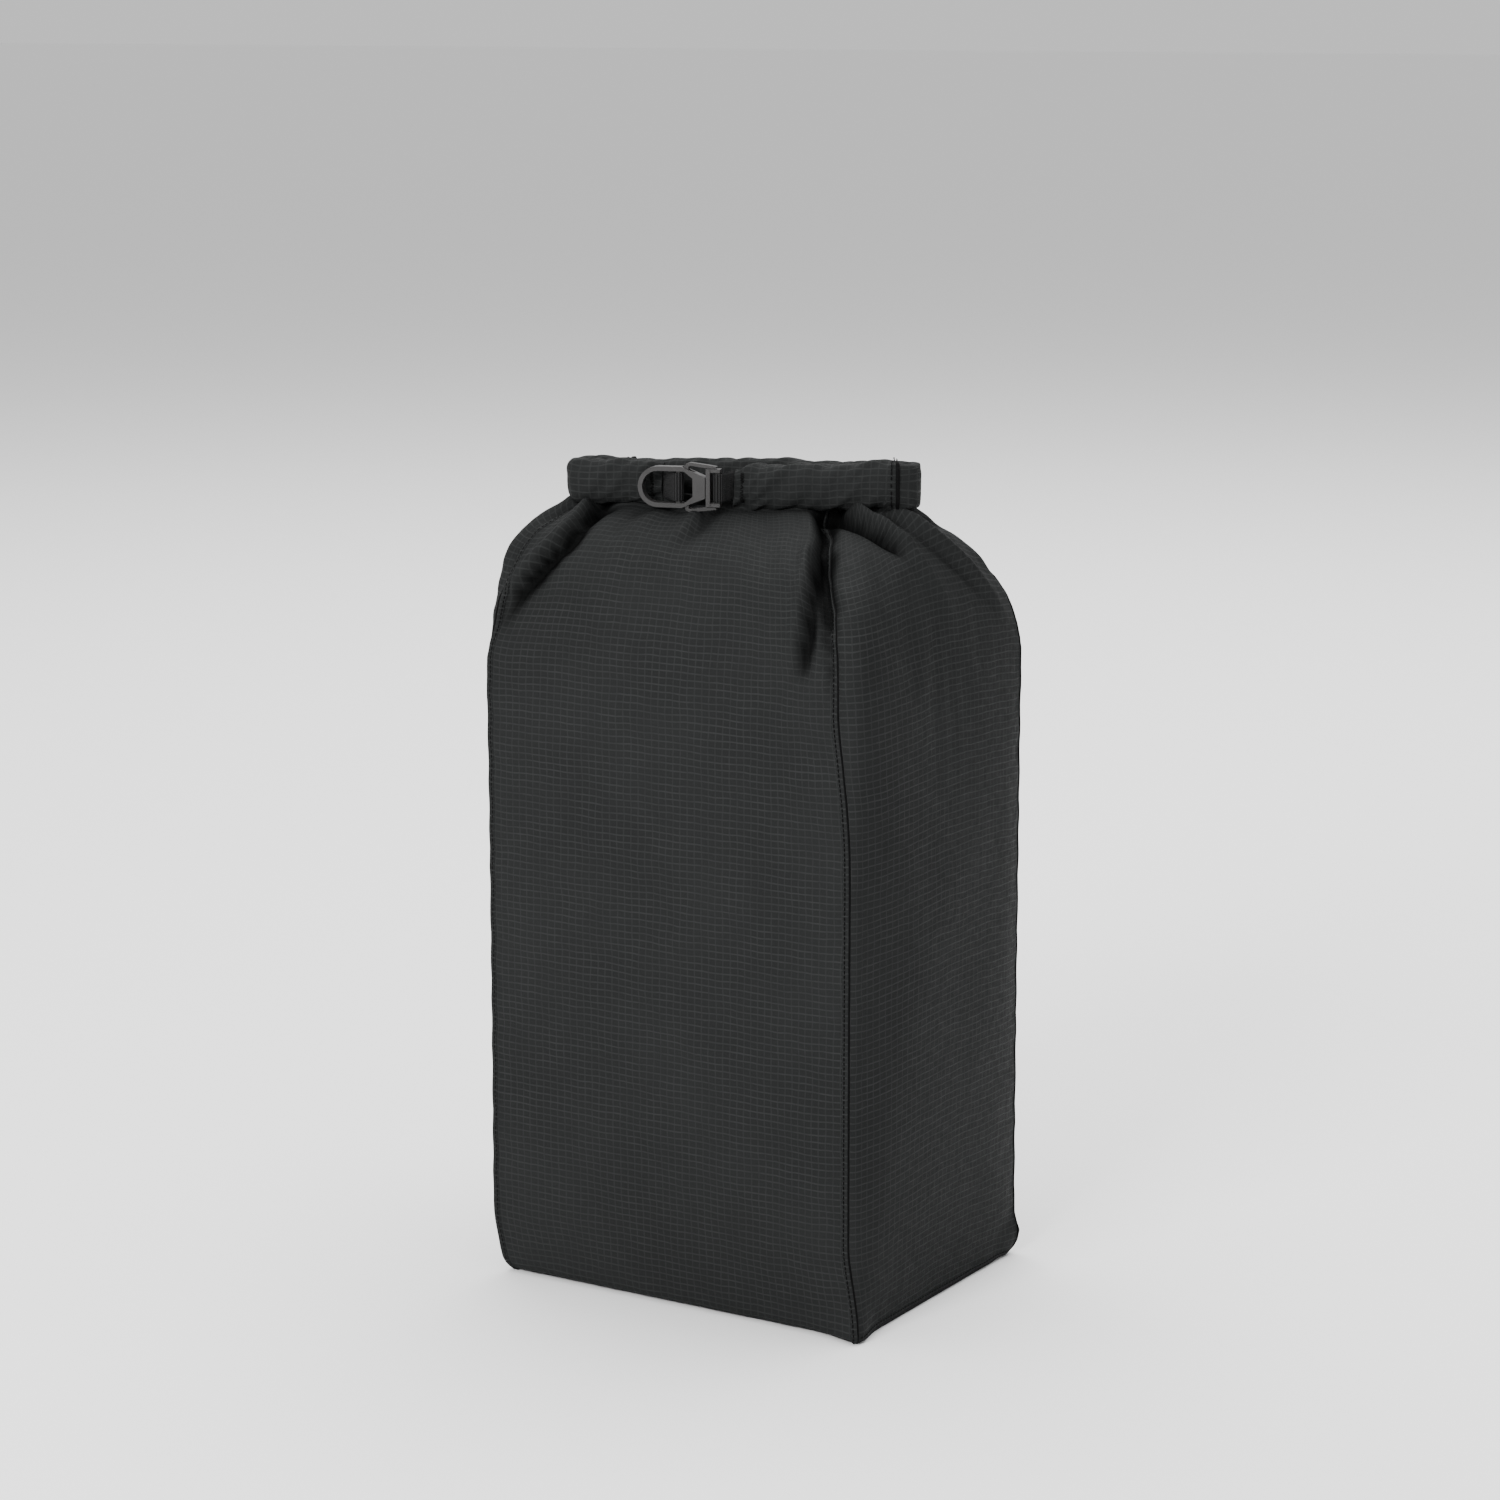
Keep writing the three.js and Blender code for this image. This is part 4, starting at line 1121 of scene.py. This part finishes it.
# ---- The add-on: what a user may change, and the operators that build each piece ----


def colour(name, description, default):
    return bpy.props.FloatVectorProperty(
        name=name, description=description, subtype="COLOR", default=default, min=0, max=1)


def length(name, description, default, low, high):
    """A length given in mm, which the add-on keeps in metres."""
    return bpy.props.FloatProperty(
        name=name, description=description, default=default * MM, min=low * MM, max=high * MM, unit="LENGTH")


def amount(name, description, default, high, **kind):
    return bpy.props.FloatProperty(name=name, description=description, default=default, min=0, max=high, **kind)


class SackFabricSettings(bpy.types.PropertyGroup):
    """The cloth: its colours, its grid and how much it folds."""

    fabric_colour: colour("Fabric colour", "Colour of the cloth between its grid lines", (0.0133, 0.0139, 0.0139))
    grid_colour: colour("Grid colour", "Colour of the thicker ripstop threads", (0.0226, 0.0235, 0.0235))
    grid_height: length("Grid height", "Height of one ripstop cell", 5, 2, 12)
    grid_width: length("Grid width", "Width of one ripstop cell", 5.8, 2, 12)
    crumple: amount("Crumple", "How crumpled the cloth's surface looks close up", 0.12, 1, subtype="FACTOR")
    fold_depth: amount("Fold depth", "Depth of the shoulder's folds, as a share of the usual", 1.0, 1.4)
    ruffle: amount("Unevenness", "How uneven the filled walls are, as a share of the usual", 1.0, 2)
    give: amount("Slack", "How much larger the cloth is than the load it settles on", 0.022, 0.1, subtype="FACTOR")
    settle_frames: bpy.props.IntProperty(
        name="Settling time", description="Frames that the cloth settles for", default=18, min=1, max=60)
    roll_wrinkle: amount("Roll wrinkles", "Depth of the rolled collar's wrinkles, as a share of the usual", 1.0, 2)


class SackTrimSettings(bpy.types.PropertyGroup):
    """Thread, tape, webbing and buckle."""

    stitch_pitch: length("Stitch pitch", "From one stitch to the next", 3.4, 2, 6)
    thread_colour: colour("Thread colour", "Colour of the stitching", (0.0015, 0.0015, 0.0016))
    tape_colour: colour("Tape colour", "Colour of the tape inside the seams", (0.045, 0.046, 0.048))
    webbing_colour: colour("Webbing colour", "Colour of the buckle's webbing tabs", (0.0125, 0.0125, 0.0127))
    webbing_rib: length("Webbing rib", "From one rib of the webbing to the next", 1.7, 1, 4)
    buckle_colour: colour("Buckle colour", "Colour of the buckle's plastic", (0.021, 0.020, 0.020))
    stiffener_colour: colour("Stiffener colour", "Colour of the strips inside the collar", (0.25, 0.26, 0.27))
    edge_radius: length("Edge radius", "Rounding of the buckle's moulded edges", 0.4, 0.1, 1)


class SackStageSettings(bpy.types.PropertyGroup):
    """The floor, the lights and the camera."""

    floor_colour: colour("Floor colour", "Colour of the floor", (0.95, 0.95, 0.95))
    surround: amount("Surround", "Strength of the light from all round", 0.75, 5)
    key_power: amount("Front light", "Power of the soft light in front", 135, 1000, unit="POWER")
    side_power: amount("Side light", "Power of the soft light at the right", 1.5, 1000, unit="POWER")
    top_power: amount("Top light", "Power of the soft light above and behind", 330, 1000, unit="POWER")
    camera_lens: bpy.props.FloatProperty(
        name="Camera lens", description="Focal length on a 36 mm sensor", default=91.2, min=20, max=300,
        subtype="DISTANCE_CAMERA")
    camera_place: bpy.props.FloatVectorProperty(
        name="Camera place", description="Where the camera stands", default=(1.411, -2.295, 0.919),
        subtype="TRANSLATION", unit="LENGTH")
    camera_heading: bpy.props.FloatProperty(
        name="Camera heading", description="Turn of the camera to the left of straight back",
        default=math.radians(31.74), subtype="ANGLE")
    camera_pitch: bpy.props.FloatProperty(
        name="Camera pitch", description="How far the camera looks down", default=math.radians(11.17),
        subtype="ANGLE")


def shared_material(kind):
    """The thread's or the tape's material, made the first time it's asked for."""
    if kind not in BUILT:
        trim = bpy.context.scene.sack_trim
        BUILT[kind] = thread_material(trim.thread_colour) if kind == "thread" else tape_material(trim.tape_colour)
    return BUILT[kind]


class SACK_OT_walls(bpy.types.Operator):
    """Make the cloth walls and base, with the folds of the shoulder"""

    bl_idname = "sack.walls"
    bl_label = "Walls and base"

    def execute(self, context):
        make_walls(context.scene.sack_fabric)
        return {"FINISHED"}


class SACK_OT_seams(bpy.types.Operator):
    """Make the side seams, their stitching and the tape inside them"""

    bl_idname = "sack.seams"
    bl_label = "Seams"

    def execute(self, context):
        make_seams(context.scene.sack_trim, shared_material("thread"), shared_material("tape"))
        return {"FINISHED"}


class SACK_OT_collar(bpy.types.Operator):
    """Make the rolled collar"""

    bl_idname = "sack.collar"
    bl_label = "Rolled collar"

    def execute(self, context):
        make_roll(context.scene.sack_fabric.roll_wrinkle, context.scene.sack_trim, shared_material("thread"))
        return {"FINISHED"}


class SACK_OT_webbing(bpy.types.Operator):
    """Make the two webbing tabs and the stitches that hold them"""

    bl_idname = "sack.webbing"
    bl_label = "Webbing tabs"

    def execute(self, context):
        wrinkle = context.scene.sack_fabric.roll_wrinkle
        make_webbing(wrinkle, context.scene.sack_trim, shared_material("thread"))
        return {"FINISHED"}


class SACK_OT_buckle(bpy.types.Operator):
    """Finish the buckle's parts and the collar's stiffening strips"""

    bl_idname = "sack.buckle"
    bl_label = "Buckle and stiffeners"

    def execute(self, context):
        make_buckle(context.scene.sack_trim)
        return {"FINISHED"}


class SACK_OT_stage(bpy.types.Operator):
    """Make the floor, the lights and the camera"""

    bl_idname = "sack.stage"
    bl_label = "Stage"

    def execute(self, context):
        make_stage(context.scene.sack_stage)
        return {"FINISHED"}


class SACK_PT_panel(bpy.types.Panel):
    """Lists the sack's pieces and their settings"""

    bl_label = "Roll-top Sack"
    bl_idname = "SACK_PT_panel"
    bl_space_type = "VIEW_3D"
    bl_region_type = "UI"
    bl_category = "Sack"

    def draw(self, context):
        layout = self.layout
        scene = context.scene
        for settings in (scene.sack_fabric, scene.sack_trim, scene.sack_stage):
            box = layout.box()
            for name in settings.bl_rna.properties.keys():
                if name not in ("rna_type", "name"):
                    box.prop(settings, name)
        for operator in OPERATORS:
            layout.operator(operator.bl_idname)


OPERATORS = (SACK_OT_walls, SACK_OT_seams, SACK_OT_collar, SACK_OT_webbing, SACK_OT_buckle, SACK_OT_stage)
GROUPS = {"sack_fabric": SackFabricSettings, "sack_trim": SackTrimSettings, "sack_stage": SackStageSettings}


def register():
    for group in GROUPS.values():
        bpy.utils.register_class(group)
    for name, group in GROUPS.items():
        setattr(bpy.types.Scene, name, bpy.props.PointerProperty(type=group))
    for item in (*OPERATORS, SACK_PT_panel):
        bpy.utils.register_class(item)


def unregister():
    for item in (SACK_PT_panel, *reversed(OPERATORS)):
        bpy.utils.unregister_class(item)
    for name in GROUPS:
        delattr(bpy.types.Scene, name)
    for group in reversed(GROUPS.values()):
        bpy.utils.unregister_class(group)


def main():
    """Registers the add-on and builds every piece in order."""
    register()
    for operator in OPERATORS:
        group, name = operator.bl_idname.split(".")
        getattr(getattr(bpy.ops, group), name)()


if __name__ == "__main__":
    main()
